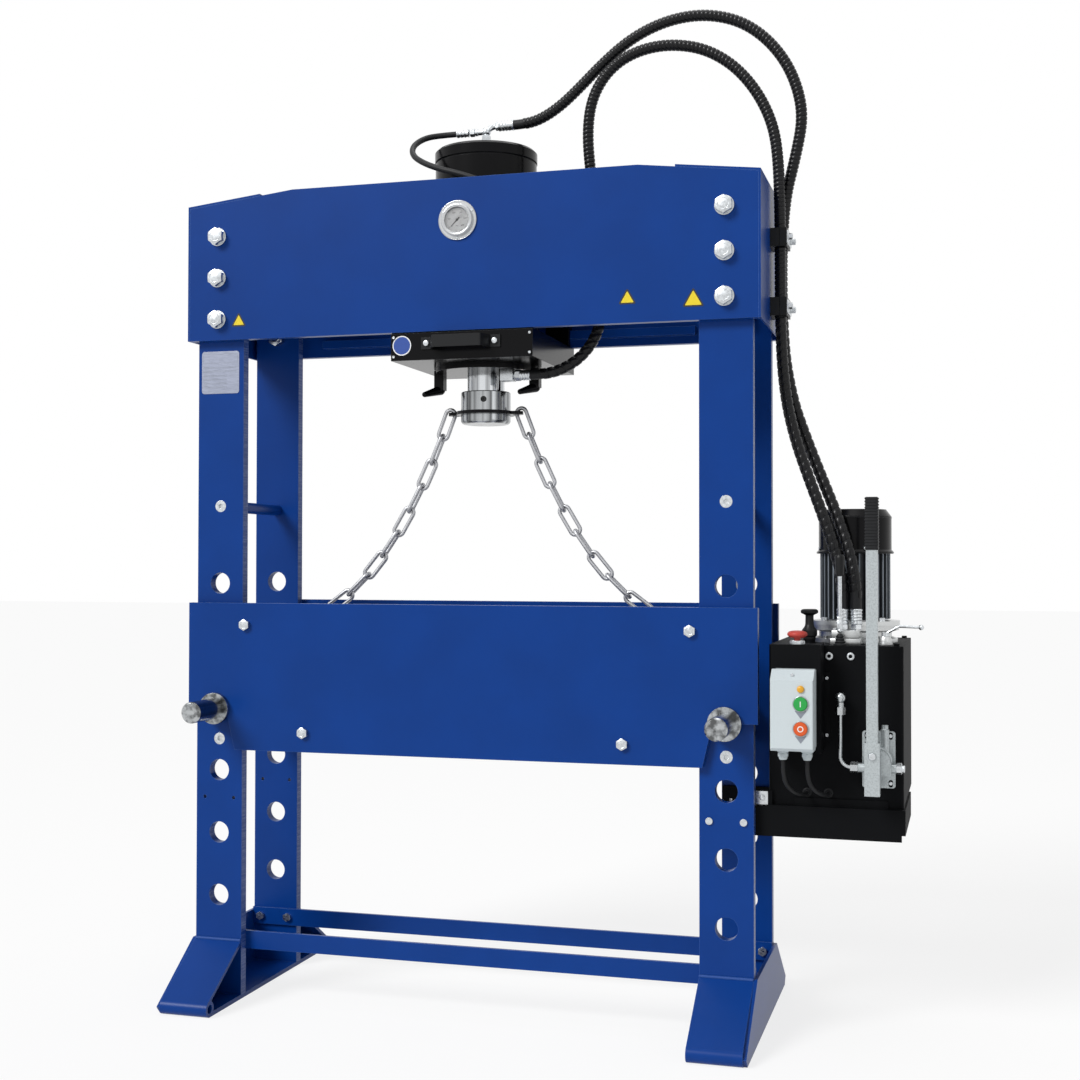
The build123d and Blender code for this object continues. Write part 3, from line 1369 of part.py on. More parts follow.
cable_motor_points = [
    (motor_gland, gland_y, cable_start_z), (motor_gland, gland_y, 600), (801, -218, 576), (811, -202, 560),
    (823, -181, 550), (grommet_places[1][0], -158, grommet_places[1][1]),
    (grommet_places[1][0], grommet_front, grommet_places[1][1])]
cord("motor_cable", cable_motor_points, cable_diameter)
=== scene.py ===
import bisect
import math

import bmesh
import bpy
from bpy.props import FloatProperty, FloatVectorProperty, IntProperty, PointerProperty
from mathutils import Matrix, Vector


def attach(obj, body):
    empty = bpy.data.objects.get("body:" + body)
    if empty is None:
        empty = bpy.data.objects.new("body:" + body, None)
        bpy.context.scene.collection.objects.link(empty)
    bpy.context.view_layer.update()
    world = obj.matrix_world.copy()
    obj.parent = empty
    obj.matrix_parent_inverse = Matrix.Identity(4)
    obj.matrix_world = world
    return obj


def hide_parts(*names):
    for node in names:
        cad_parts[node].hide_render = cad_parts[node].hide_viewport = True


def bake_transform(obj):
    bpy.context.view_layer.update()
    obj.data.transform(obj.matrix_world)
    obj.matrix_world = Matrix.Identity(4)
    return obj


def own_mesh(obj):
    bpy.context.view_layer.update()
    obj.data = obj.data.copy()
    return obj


bl_info = {
    "name": "Workshop press",
    "version": (1, 0, 0),
    "blender": (4, 5, 0),
    "location": "View3D > Sidebar > Press",
    "description": "Finishes, fasteners, hoses, chains and controls of a hydraulic workshop press",
    "category": "Object",
}

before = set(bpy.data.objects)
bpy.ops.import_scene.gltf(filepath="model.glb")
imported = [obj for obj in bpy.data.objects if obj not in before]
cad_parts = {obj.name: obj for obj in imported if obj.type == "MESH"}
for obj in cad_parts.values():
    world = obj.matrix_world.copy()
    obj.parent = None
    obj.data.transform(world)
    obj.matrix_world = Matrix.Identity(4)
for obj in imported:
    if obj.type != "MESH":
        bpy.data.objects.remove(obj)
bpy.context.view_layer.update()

MM = 0.001

# Turns that make a shape's own Z face one way
UP = Matrix.Identity(4)
DOWN = Matrix(((1, 0, 0), (0, -1, 0), (0, 0, -1))).to_4x4()
FRONT = Matrix(((1, 0, 0), (0, 0, -1), (0, 1, 0))).to_4x4()
REAR = Matrix(((-1, 0, 0), (0, 0, 1), (0, 1, 0))).to_4x4()
RIGHT = Matrix(((0, 0, 1), (1, 0, 0), (0, 1, 0))).to_4x4()
LEFT = Matrix(((0, 0, -1), (-1, 0, 0), (0, 1, 0))).to_4x4()

# Faces and the axis of the frame's own pieces that others are set on, in millimetres
UPRIGHT_FACE, BEAM_FACE, COVER_FACE, TANK_FACE, LID_TOP = -167.5, -187.5, -187.0, -126, 867
MOTOR_X, MOTOR_Y = 876, 65

# The catenary that both chains hang in, in metres: its size, its slope at the first link, that link's middle,
# and the middle that the chains are mirrored about
CATENARY, FIRST_SLOPE, START_X, LOW_Z, MIDDLE_X = 0.28, -2.6, 0.099212, 0.88141, 0.005


def from_hex(text):
    """An sRGB hex colour as linear RGBA."""
    shares = [int(text[i:i + 2], 16) / 255 for i in (0, 2, 4)]
    return tuple(s / 12.92 if s <= 0.04045 else ((s + 0.055) / 1.055) ** 2.4 for s in shares) + (1.0,)


def colour_setting(name, description, default):
    """A colour that the sidebar offers, from its sRGB hex value."""
    return FloatVectorProperty(name=name, description=description, subtype="COLOR", size=4, min=0, max=1,
                               default=from_hex(default))


def length_setting(name, description, millimetres):
    """A length that the sidebar offers."""
    return FloatProperty(name=name, description=description, default=millimetres * MM, min=0,
                         subtype="DISTANCE", unit="LENGTH")


# Settings
class PressPaint(bpy.types.PropertyGroup):
    frame_blue: colour_setting("Frame blue", "Enamel on the frame, the beam and the table", "04367f")
    machine_black: colour_setting("Machine black", "Gloss enamel on the cylinder and the tank", "08080a")
    motor_grey: colour_setting("Motor grey", "Satin paint on the motor's fins", "3a3e42")
    hammer_silver: colour_setting("Hammer silver", "Hammer paint on the hand pump and its bar", "b4bbbd")
    box_grey: colour_setting("Box grey", "Moulded plastic of the starter box", "c3cccf")


class PressFasteners(bpy.types.PropertyGroup):
    beam_bolt_flats: length_setting("Beam bolt", "Width across the flats of a beam bolt's head", 36)
    beam_bolt_head: length_setting("Beam bolt head", "Height of a beam bolt's head", 15)
    table_bolt_flats: length_setting("Table bolt", "Width across the flats of a table bolt's head", 24)
    table_bolt_head: length_setting("Table bolt head", "Height of a table bolt's head", 10)


class PressChain(bpy.types.PropertyGroup):
    links: IntProperty(name="Links", description="Links in each chain", default=10, min=1, max=40)
    wire: length_setting("Wire", "Thickness of the links' wire", 9.5)
    pitch: length_setting("Pitch", "Length inside a link, less its play", 65)
    inside_length: length_setting("Inside length", "Length inside a link", 66)
    inside_width: length_setting("Inside width", "Width inside a link", 15)


class PressHoses(bpy.types.PropertyGroup):
    hose: length_setting("Hose", "Diameter over the spiral guard", 26)
    guard_pitch_top: length_setting("Upper guard pitch", "Turn to turn above the clamps", 10)
    guard_pitch_low: length_setting("Lower guard pitch", "Turn to turn below the clamps", 19)


class PressStage(bpy.types.PropertyGroup):
    key_strength: FloatProperty(name="Key light", description="Strength of the light from the front left",
                                default=2.7, min=0)
    fill_strength: FloatProperty(name="Fill light", description="Power of the lamp at the right",
                                 default=6, min=0, unit="POWER")
    top_strength: FloatProperty(name="Top light", description="Power of the lamp overhead",
                                default=30, min=0, unit="POWER")
    room: FloatProperty(name="Room light", description="Strength of the light from all round",
                        default=0.3, min=0)


# Nodes and materials
def add(tree, kind, values=None, **settings):
    """Adds a node, with its settings, its input values and the outputs that feed its inputs."""
    node = tree.nodes.new(kind)
    for name, value in settings.items():
        setattr(node, name, value)
    for name, value in (values or {}).items():
        socket = node.inputs[name]
        if isinstance(value, bpy.types.NodeSocket):
            tree.links.new(value, socket)
        else:
            socket.default_value = value
    return node


def per_mm(size):
    """The scale of a texture whose grain is that many millimetres."""
    return 1 / (size * MM)


def empty_tree(holder):
    """The node tree of a material or a world, without its first nodes."""
    holder.use_nodes = True
    holder.node_tree.nodes.clear()
    return holder.node_tree


def start_material(name, values):
    """A material with one shader, and the object's own coordinates."""
    material = bpy.data.materials.new(name)
    tree = empty_tree(material)
    shader = add(tree, "ShaderNodeBsdfPrincipled", values)
    add(tree, "ShaderNodeOutputMaterial", {"Surface": shader.outputs["BSDF"]})
    where = add(tree, "ShaderNodeTexCoord").outputs["Object"]
    return material, tree, shader, where


def mix_colour(tree, shader, first, second, share):
    """Runs the base colour from a first tone or output to a second, and returns the output that holds it."""
    mix = add(tree, "ShaderNodeMix", data_type="RGBA")
    tones = [socket for socket in mix.inputs if socket.type == "RGBA"]
    for socket, tone in zip(tones, (first, second)):
        if isinstance(tone, bpy.types.NodeSocket):
            tree.links.new(tone, socket)
        else:
            socket.default_value = tone
    tree.links.new(share, mix.inputs["Factor"])
    mixed = next(socket for socket in mix.outputs if socket.type == "RGBA")
    tree.links.new(mixed, shader.inputs["Base Color"])
    return mixed


def vary_colour(tree, shader, dark, light, pattern, low=0.35, high=0.65):
    """Runs the base colour from one tone to another with a pattern."""
    ramp = add(tree, "ShaderNodeMapRange", {"Value": pattern, "From Min": low, "From Max": high})
    return mix_colour(tree, shader, dark, light, ramp.outputs["Result"])


def scaled(colour, share):
    """A colour made that much darker or lighter."""
    return tuple(min(1, c * share) for c in colour[:3]) + (1.0,)


def relief(tree, shader, height, strength, depth_mm, edge_mm, **settings):
    """Raises the surface by a pattern and rounds its edges in the light. Returns both nodes."""
    rounded = add(tree, "ShaderNodeBevel", {"Radius": edge_mm * MM}, samples=4)
    bump = add(tree, "ShaderNodeBump", {
        "Height": height, "Strength": strength, "Distance": depth_mm * MM,
        "Normal": rounded.outputs["Normal"]}, **settings)
    tree.links.new(bump.outputs["Normal"], shader.inputs["Normal"])
    return rounded, bump


def enamel(name, colour, roughness, shine, peel_mm, peel_depth, edge, cut_line_sheen=None):
    """Sprayed enamel that dries with an orange peel. Its sharp edges carry a painted highlight: the colour
    runs to a paler edge colour along them.
    """
    material, tree, shader, where = start_material(name, {
        "Roughness": roughness, "Specular IOR Level": shine})
    peel = add(tree, "ShaderNodeTexNoise", {"Vector": where, "Scale": per_mm(peel_mm), "Detail": 2.0})
    rounded, bump = relief(tree, shader, peel.outputs["Fac"], 0.6, peel_depth, 1.3)
    # Painted highlight: at the edges, where the rounded normal turns away from the face's own, the colour
    # runs to the paler edge colour
    geometry = add(tree, "ShaderNodeNewGeometry")
    facing = add(tree, "ShaderNodeVectorMath", {
        0: rounded.outputs["Normal"], 1: geometry.outputs["True Normal"]}, operation="DOT_PRODUCT")
    thin = add(tree, "ShaderNodeMapRange", {
        "Value": facing.outputs["Value"], "From Min": 0.995, "From Max": 0.85})
    clouds = add(tree, "ShaderNodeTexNoise", {"Vector": where, "Scale": per_mm(170), "Detail": 3.0})
    cloudy = vary_colour(tree, shader, scaled(colour, 0.94), scaled(colour, 1.05), clouds.outputs["Fac"])
    with_edge_highlight = mix_colour(tree, shader, cloudy, edge, thin.outputs["Result"])
    if cut_line_sheen:
        flame_cut(tree, shader, where, geometry, with_edge_highlight, cut_line_sheen, bump)
    return material


def flame_cut(tree, shader, where, geometry, with_edge_highlight, pale, bump):
    """The flame-cut side of a flat bar: fine lines run through its thickness, in its relief and in a paler
    tone. The lines are the cut's own, and their paler tone is partly a painted sheen for the light the rough
    cut catches.
    """
    across = add(tree, "ShaderNodeVectorMath", {0: geometry.outputs["True Normal"]}, operation="ABSOLUTE")
    sideways = add(tree, "ShaderNodeSeparateXYZ", {"Vector": across.outputs["Vector"]}).outputs["X"]
    is_side = add(tree, "ShaderNodeMath", {0: sideways, 1: 0.9}, operation="GREATER_THAN").outputs[0]
    mapping = add(tree, "ShaderNodeMapping", {"Vector": where, "Scale": (0.05, 0.05, 1.0)})
    lines = add(tree, "ShaderNodeTexNoise", {
        "Vector": mapping.outputs["Vector"], "Scale": per_mm(2.4), "Detail": 4.0}).outputs["Fac"]
    share = add(tree, "ShaderNodeMapRange", {
        "Value": lines, "From Min": 0.4, "From Max": 0.75, "To Max": 0.8}).outputs["Result"]
    # Painted sheen: on the cut sides the colour follows the cut's lines towards the paler colour, which
    # stands in for the light the rough cut catches
    cut_sheen_share = add(tree, "ShaderNodeMath", {0: share, 1: is_side}, operation="MULTIPLY")
    mix_colour(tree, shader, with_edge_highlight, pale, cut_sheen_share.outputs[0])
    height = add(tree, "ShaderNodeMath", {0: lines, 1: is_side}, operation="MULTIPLY")
    rough = add(tree, "ShaderNodeBump", {
        "Height": height.outputs[0], "Strength": 0.7, "Distance": 0.5 * MM,
        "Normal": bump.outputs["Normal"]})
    tree.links.new(rough.outputs["Normal"], shader.inputs["Normal"])


def bare_metal(name, colour, roughness, grain_mm, spread, squeeze=(1, 1, 1), bump_mm=0.02, dark=0.82):
    """Bare metal: its grain shows in how the light breaks up and in its tone. Where the dark share is low and
    the grain is drawn out, its tone paints reflections as dark and bright stripes.
    """
    material, tree, shader, where = start_material(name, {"Metallic": 1.0})
    mapping = add(tree, "ShaderNodeMapping", {"Vector": where, "Scale": squeeze})
    grain = add(tree, "ShaderNodeTexNoise", {
        "Vector": mapping.outputs["Vector"], "Scale": per_mm(grain_mm), "Detail": 4.0}).outputs["Fac"]
    # The tone follows the grain. On chrome and turned steel, its dark and bright stripes are painted
    # reflections
    vary_colour(tree, shader, scaled(colour, dark), colour, grain, 0.38, 0.62)
    rough = add(tree, "ShaderNodeMapRange", {
        "Value": grain, "From Min": 0.25, "From Max": 0.75,
        "To Min": roughness - spread, "To Max": roughness + spread})
    tree.links.new(rough.outputs["Result"], shader.inputs["Roughness"])
    relief(tree, shader, grain, 0.5, bump_mm, 0.5)
    return material


def hammer_paint(name, colour):
    """Silver hammer paint: aluminium flake that pulls into small round dimples as it dries."""
    material, tree, shader, where = start_material(name, {"Roughness": 0.3, "Metallic": 0.55})
    cells = add(tree, "ShaderNodeTexVoronoi", {
        "Vector": where, "Scale": per_mm(3.2)}, feature="SMOOTH_F1").outputs["Distance"]
    vary_colour(tree, shader, scaled(colour, 0.75), colour, cells, 0.1, 0.5)
    relief(tree, shader, cells, 0.5, 0.35, 1.5, invert=True)
    return material


def moulded(name, colour, roughness, shine=0.22, grain_mm=0.9, depth_mm=0.06):
    """Moulded plastic or rubber: one colour right through, with the mould's fine spark grain."""
    material, tree, shader, where = start_material(name, {
        "Roughness": roughness, "Specular IOR Level": shine})
    grain = add(tree, "ShaderNodeTexNoise", {
        "Vector": where, "Scale": per_mm(grain_mm), "Detail": 3.0}).outputs["Fac"]
    vary_colour(tree, shader, scaled(colour, 0.92), scaled(colour, 1.06), grain)
    relief(tree, shader, grain, 0.5, depth_mm, 0.6)
    return material


def printed(name, colour):
    """A printed or painted field on vinyl or sheet: flat ink with the faint cloud of its backing."""
    material, tree, shader, where = start_material(name, {"Roughness": 0.4})
    clouds = add(tree, "ShaderNodeTexNoise", {"Vector": where, "Scale": per_mm(14), "Detail": 3.0})
    vary_colour(tree, shader, scaled(colour, 0.95), colour, clouds.outputs["Fac"])
    return material


def window_glass(name):
    """The gauge's window: clear glass with a little haze of handling."""
    material, tree, shader, where = start_material(name, {"Transmission Weight": 1.0, "IOR": 1.47})
    haze = add(tree, "ShaderNodeTexNoise", {"Vector": where, "Scale": per_mm(9), "Detail": 2.0})
    rough = add(tree, "ShaderNodeMapRange", {"Value": haze.outputs["Fac"], "To Min": 0.0, "To Max": 0.06})
    tree.links.new(rough.outputs["Result"], shader.inputs["Roughness"])
    return material


def motor_finish(name, colour, aluminium_below, axis, highlight_from):
    """The motor's casting: satin grey with a painted highlight on the fins' tips, where the grey is made much
    paler, over bare aluminium at the flange.
    """
    material, tree, shader, where = start_material(name, {"Specular IOR Level": 0.22})
    height = add(tree, "ShaderNodeSeparateXYZ", {"Vector": where}).outputs["Z"]
    painted = add(tree, "ShaderNodeMath", {0: height, 1: aluminium_below}, operation="GREATER_THAN")
    bare = add(tree, "ShaderNodeMath", {0: 1.0, 1: painted.outputs[0]}, operation="SUBTRACT")
    tree.links.new(bare.outputs[0], shader.inputs["Metallic"])
    from_axis = add(tree, "ShaderNodeVectorMath", {0: where, 1: axis}, operation="SUBTRACT")
    flat = add(tree, "ShaderNodeVectorMath", {
        0: from_axis.outputs["Vector"], 1: (1, 1, 0)}, operation="MULTIPLY")
    reach = add(tree, "ShaderNodeVectorMath", {0: flat.outputs["Vector"]}, operation="LENGTH")
    # Painted highlight: beyond this reach from the motor's axis, on the fins' tips, the grey is made 5.5
    # times paler
    tip = add(tree, "ShaderNodeMath", {0: reach.outputs["Value"], 1: highlight_from}, operation="GREATER_THAN")
    paint = mix_colour(tree, shader, colour, scaled(colour, 5.5), tip.outputs[0])
    mix_colour(tree, shader, from_hex("cfd1d1"), paint, painted.outputs[0])
    grain = add(tree, "ShaderNodeTexNoise", {
        "Vector": where, "Scale": per_mm(3), "Detail": 4.0}).outputs["Fac"]
    rough = add(tree, "ShaderNodeMapRange", {"Value": grain, "To Min": 0.28, "To Max": 0.5})
    tree.links.new(rough.outputs["Result"], shader.inputs["Roughness"])
    relief(tree, shader, grain, 0.4, 0.1, 0.8)
    return material


# Metals: name, colour, roughness, grain in millimetres, how far the roughness spreads, and what else differs
metals = {
    # Bright zinc plating on steel: a cool silver that clouds a little from part to part
    "zinc": ("bright_zinc_plate", "d3d7da", 0.3, 6.0, 0.08, {}),
    # Galvanised chain: dull grey zinc with fine dark grains where the links rub
    "galvanised": ("galvanised_steel", "b9babd", 0.42, 2.2, 0.12, {"bump_mm": 0.15}),
    # Ground hard chrome: nearly a mirror, with a painted reflection: its colour runs in upright dark and
    # bright stripes that stand in for a workshop reflected in it
    "chrome": ("hard_chrome_painted_reflection", "d9dcdf", 0.1, 17, 0.03,
               {"squeeze": (1, 1, 0.01), "bump_mm": 0.01, "dark": 0.12}),
    # Turned steel left bright: satin, with painted reflections: dark and bright stripes in its colour, drawn
    # out along its axis
    "turned": ("turned_steel_painted_reflection", "b9bcbe", 0.2, 15, 0.05,
               {"squeeze": (1, 1, 0.01), "bump_mm": 0.01, "dark": 0.25}),
    # The same painted reflections on the pins, drawn out along their axis
    "turned_pin": ("turned_pin_steel_painted_reflection", "b9bcbe", 0.2, 15, 0.05,
                   {"squeeze": (1, 0.01, 1), "bump_mm": 0.01, "dark": 0.25}),
    # Die-cast aluminium: pale, with the soft grain of the mould
    "aluminium": ("die_cast_aluminium", "cfd1d1", 0.36, 1.6, 0.08, {"bump_mm": 0.12}),
    # Brushed stainless steel: hairlines that draw its highlights out
    "stainless": ("brushed_stainless", "c9cbcd", 0.22, 0.6, 0.05, {"squeeze": (1, 0.1, 1), "bump_mm": 0.01}),
    # Zinc-plated drawn tube: smoother and a little darker than the fittings
    "pipe": ("drawn_zinced_pipe", "c4c8ca", 0.26, 2.0, 0.06, {}),
    # Anodised label sheet: flat blue-grey with the rolling lines across it
    "plate": ("anodised_label_plate", "9398a8", 0.4, 0.7, 0.08, {"squeeze": (0.05, 1, 1)}),
}
# Plastics, rubber and powder coat: name, colour, roughness, and what else differs
plastics = {
    # Extruded hose rubber: a matt black with the coarse print of its wrapping
    "rubber": ("hose_rubber", "191a1c", 0.5, {"grain_mm": 1.4, "depth_mm": 0.12}),
    # Extruded polyethylene: glossier than the hose, and slightly wavy
    "guard": ("polyethylene_spiral_guard", "111113", 0.26, {"grain_mm": 5.0, "depth_mm": 0.1}),
    # Moulded nylon that hands have polished
    "satin": ("handle_nylon", "141517", 0.34, {"grain_mm": 1.1, "depth_mm": 0.08}),
    # Baked powder coat: a fine pebbled matt black with hardly any gloss
    "powder": ("black_powder_coat", "0c0d0f", 0.62, {"shine": 0.06, "grain_mm": 1.6, "depth_mm": 0.09}),
    # Moulded plastics with the mould's plain grain. The buttons are glossier, and the lens most of all
    "plastic": ("black_nylon", "131415", 0.4, {}),
    "green": ("green_button_plastic", "2f9b4a", 0.3, {}),
    "orange": ("orange_button_plastic", "d0592b", 0.3, {}),
    "red": ("red_stop_plastic", "b5443c", 0.33, {}),
    "amber": ("amber_lamp_lens", "d9a035", 0.2, {}),
}
# Printed and painted fields: name and colour
prints = {
    "white": ("white_print", "e8e9ea"),
    "ink": ("black_ink", "17181a"),
    # The grey ink also paints the shadows on the gauge's dial and under the starter's buttons
    "grey_ink_and_painted_shade": ("grey_ink_and_painted_shade", "7f858f"),
    "yellow": ("yellow_vinyl", "e0c81e"),
    "sign_blue": ("blue_vinyl", "1c4494"),
}
finishes = {}


def mix_finishes(paint):
    """Makes each finish once, under the name that the pieces ask for."""
    # The edge colour is a painted highlight along the enamel's edges
    blue = {"colour": tuple(paint.frame_blue), "roughness": 0.34, "shine": 0.16, "peel_mm": 2.6,
            "peel_depth": 0.05, "edge": from_hex("4f70b0")}
    # Sprayed blue on plate: deep and even, with a painted highlight along its edges. On cut bar the lines of
    # the cut show through, in relief and in a paler tone that is partly a painted sheen
    finishes["blue"] = enamel("blue_enamel", **blue)
    finishes["cut_blue"] = enamel("blue_enamel_on_cut_bar", cut_line_sheen=from_hex("6a7aa6"), **blue)
    # Gloss black: dark in the middle of each face, with a painted highlight in dark grey along its edges, and
    # long highlights broken by its orange peel
    finishes["black"] = enamel("black_gloss_enamel", tuple(paint.machine_black), 0.2, 0.12, 3.2, 0.06,
                               from_hex("303236"))
    # Top of the bare flange, and the reach beyond which the fins' tips get a painted highlight
    flange_top, fin_highlight_from = 0.917, 0.0775
    finishes["motor"] = motor_finish("grey_motor_paint", tuple(paint.motor_grey), flange_top,
                                     (MOTOR_X * MM, MOTOR_Y * MM, 0), fin_highlight_from)
    finishes["hammer"] = hammer_paint("silver_hammer_paint", tuple(paint.hammer_silver))
    # Moulded ABS: pale grey, with a soft broad highlight
    finishes["box"] = moulded("grey_abs", tuple(paint.box_grey), 0.42)
    finishes["glass"] = window_glass("gauge_glass")
    for finish, (name, colour, roughness, grain_mm, spread, others) in metals.items():
        finishes[finish] = bare_metal(name, from_hex(colour), roughness, grain_mm, spread, **others)
    for finish, (name, colour, roughness, others) in plastics.items():
        finishes[finish] = moulded(name, from_hex(colour), roughness, **others)
    for finish, (name, colour) in prints.items():
        finishes[finish] = printed(name, from_hex(colour))


# Shapes
def at(x, y, z, turn=UP):
    """A place in millimetres, with the shape's own Z turned to face one way."""
    return Matrix.Translation(Vector((x, y, z)) * MM) @ turn


def skin(shape, rings, closed=True):
    """Quads between rings of vertices, with a face over each end."""
    for low, high in zip(rings, rings[1:]):
        for i in range(len(low)):
            j = (i + 1) % len(low)
            shape.faces.new((low[i], low[j], high[j], high[i]))
    if closed:
        shape.faces.new(rings[0][::-1])
        shape.faces.new(rings[-1])


def ring_of(shape, place, points):
    """The vertices of one closed ring, from points in millimetres."""
    return [shape.verts.new(place @ Vector((x * MM, y * MM, z * MM))) for x, y, z in points]


def levels_of(shape, place, levels):
    """Rings of vertices from flat outlines, each raised to its own height, in millimetres."""
    return [ring_of(shape, place, [(x, y, height) for x, y in outline]) for outline, height in levels]


def circle(radius, height, steps):
    """The points of a level circle."""
    return [(radius * math.cos(math.tau * i / steps), radius * math.sin(math.tau * i / steps), height)
            for i in range(steps)]


def turned(shape, place, profile, steps=48):
    """A solid of revolution. The profile is (radius, height) in millimetres, from end to end."""
    skin(shape, [ring_of(shape, place, circle(radius, height, steps)) for radius, height in profile])


def ring_body(shape, place, profile, steps=48):
    """A ring of revolution: the profile is a closed outline of (radius, height)."""
    rings = [ring_of(shape, place, circle(radius, height, steps)) for radius, height in profile]
    skin(shape, rings + rings[:1], closed=False)


def bead(radius, height, across, tall, steps):
    """The outline of a ring's round or oval section: its middle, its two half sizes and its steps."""
    return [(radius + across * math.cos(a), height + tall * math.sin(a))
            for a in (math.tau * i / steps for i in range(steps))]


def hexagonal(shape, place, flats, low, high, chamfer_low=False, steps=48):
    """A hexagon whose corners are turned off at its top, and at its foot where it is a nut."""
    half = flats / 2
    flat_radius = half * 0.97
    chamfer_slope = 0.577

    def level(height, inward):
        points = []
        for i in range(steps):
            angle = math.tau * i / steps
            off = (angle + math.pi / 6) % (math.pi / 3) - math.pi / 6
            radius = half / math.cos(off)
            drop = max(0, radius - flat_radius) * chamfer_slope
            points.append((radius * math.cos(angle), radius * math.sin(angle), height + inward * drop))
        return points

    outlines = [level(low, 1 if chamfer_low else 0), level(high, -1), circle(flat_radius, high, steps)]
    if chamfer_low:
        outlines.insert(0, circle(flat_radius, low, steps))
    skin(shape, [ring_of(shape, place, outline) for outline in outlines])


def block(shape, low, high, soften=1.0, segments=2):
    """A block between two corners in millimetres, with its edges softened."""
    low, high = Vector(low) * MM, Vector(high) * MM
    place = Matrix.Translation((low + high) / 2) @ Matrix.Diagonal((*(high - low), 1))
    made = bmesh.ops.create_cube(shape, size=1, matrix=place)
    edges = list(dict.fromkeys(edge for vert in made["verts"] for edge in vert.link_edges))
    bmesh.ops.bevel(shape, geom=edges, offset=soften * MM, segments=segments, affect="EDGES", profile=0.5)


def slab(shape, place, outline, depth, soften=0.0):
    """A flat outline in the place's XY plane, in millimetres, raised along its Z."""
    levels = [(outline, 0), (outline, depth - soften)]
    if soften:
        middle = Vector((sum(p[0] for p in outline), sum(p[1] for p in outline))) / len(outline)
        inner = [Vector(p) - (Vector(p) - middle).normalized() * soften for p in outline]
        levels.append((inner, depth))
    skin(shape, levels_of(shape, place, levels))


def rounded_box(wide, high, radius, steps=6):
    """The outline of a rectangle with round corners, in millimetres."""
    points = []
    for cx, cy, start in ((1, 1, 0), (-1, 1, 90), (-1, -1, 180), (1, -1, 270)):
        for step in range(steps + 1):
            angle = math.radians(start + 90 * step / steps)
            points.append((cx * (wide / 2 - radius) + radius * math.cos(angle),
                           cy * (high / 2 - radius) + radius * math.sin(angle)))
    return points


def tube(shape, points, radius, sides=20, closed=False):
    """A round tube along points in metres. A closed one joins its ends."""
    points = [Vector(p) for p in points]
    count = len(points)
    normal = None
    rings = []
    for i, point in enumerate(points):
        before = points[(i - 1) % count] if closed or i else point
        after = points[(i + 1) % count] if closed or i + 1 < count else point
        tangent = (after - before).normalized()
        if normal is None:
            normal = tangent.orthogonal().normalized()
        normal = (normal - tangent * normal.dot(tangent)).normalized()
        side = tangent.cross(normal)
        rings.append([shape.verts.new(point + (normal * math.cos(a) + side * math.sin(a)) * radius)
                      for a in (math.tau * k / sides for k in range(sides))])
    skin(shape, rings + rings[:1] if closed else rings, closed=not closed)


def as_mesh(holder):
    """The plain mesh that an object's curve or modifiers come to. The object itself is removed."""
    bpy.context.scene.collection.objects.link(holder)
    graph = bpy.context.evaluated_depsgraph_get()
    mesh = bpy.data.meshes.new_from_object(holder.evaluated_get(graph))
    bpy.data.objects.remove(holder)
    return mesh


def lettering(shape, place, text, size, depth=0.1):
    """Plain numbers or signs as raised print, centred on the place."""
    curve = bpy.data.curves.new("lettering", "FONT")
    curve.body = text
    curve.size = size * MM
    curve.extrude = depth * MM / 2
    curve.align_x = "CENTER"
    curve.align_y = "CENTER"
    mesh = as_mesh(bpy.data.objects.new("lettering", curve))
    mesh.transform(place)
    shape.from_mesh(mesh)
    bpy.data.curves.remove(curve)
    bpy.data.meshes.remove(mesh)


def mesh_of(shape, name):
    """The finished mesh of a shape: welded, closed and facing outwards."""
    bmesh.ops.remove_doubles(shape, verts=shape.verts, dist=2e-6)
    bmesh.ops.dissolve_degenerate(shape, edges=shape.edges, dist=1e-6)
    bmesh.ops.recalc_face_normals(shape, faces=shape.faces)
    mesh = bpy.data.meshes.new(name)
    shape.to_mesh(mesh)
    shape.free()
    return mesh


def place_piece(name, mesh, finish, body, stands_for=(), sharp=35, blend=None):
    """Puts a mesh in the scene as a piece of the press, with its finish, and sets what it moves with. Given a
    blend, it only bakes its place into the mesh and sets nothing that it moves with.
    """
    mesh.name = name
    mesh.materials.clear()
    mesh.materials.append(finishes[finish])
    mesh.polygons.foreach_set("use_smooth", [True] * len(mesh.polygons))
    mesh.set_sharp_from_angle(angle=math.radians(sharp))
    piece = bpy.data.objects.new(name, mesh)
    bpy.context.scene.collection.objects.link(piece)
    if blend:
        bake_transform(piece)
    else:
        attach(piece, body)
    if stands_for:
        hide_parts(*stands_for)
    return piece


def finished(name, shape, finish, body, stands_for=(), sharp=35, blend=None):
    """Makes a shape a mesh, and puts it in the scene as a piece."""
    return place_piece(name, mesh_of(shape, name), finish, body, stands_for, sharp, blend)


# Geometry Nodes that repeat a shape
def start_tree(name, inputs):
    """A tree with a geometry input and named inputs. Returns it and what its inputs give."""
    tree = bpy.data.node_groups.new(name, "GeometryNodeTree")
    face = tree.interface
    face.new_socket("Geometry", in_out="INPUT", socket_type="NodeSocketGeometry")
    for label, kind, default in inputs:
        face.new_socket(label, in_out="INPUT", socket_type=kind).default_value = default
    face.new_socket("Finish", in_out="INPUT", socket_type="NodeSocketMaterial")
    face.new_socket("Geometry", in_out="OUTPUT", socket_type="NodeSocketGeometry")
    return tree, add(tree, "NodeGroupInput").outputs


def end_tree(tree, given, geometry):
    """Ends a tree in real geometry with its finish on."""
    real = add(tree, "GeometryNodeRealizeInstances", {"Geometry": geometry})
    painted = add(tree, "GeometryNodeSetMaterial", {
        "Geometry": real.outputs[0], "Material": given["Finish"]})
    add(tree, "NodeGroupOutput", {"Geometry": painted.outputs[0]})
    return tree


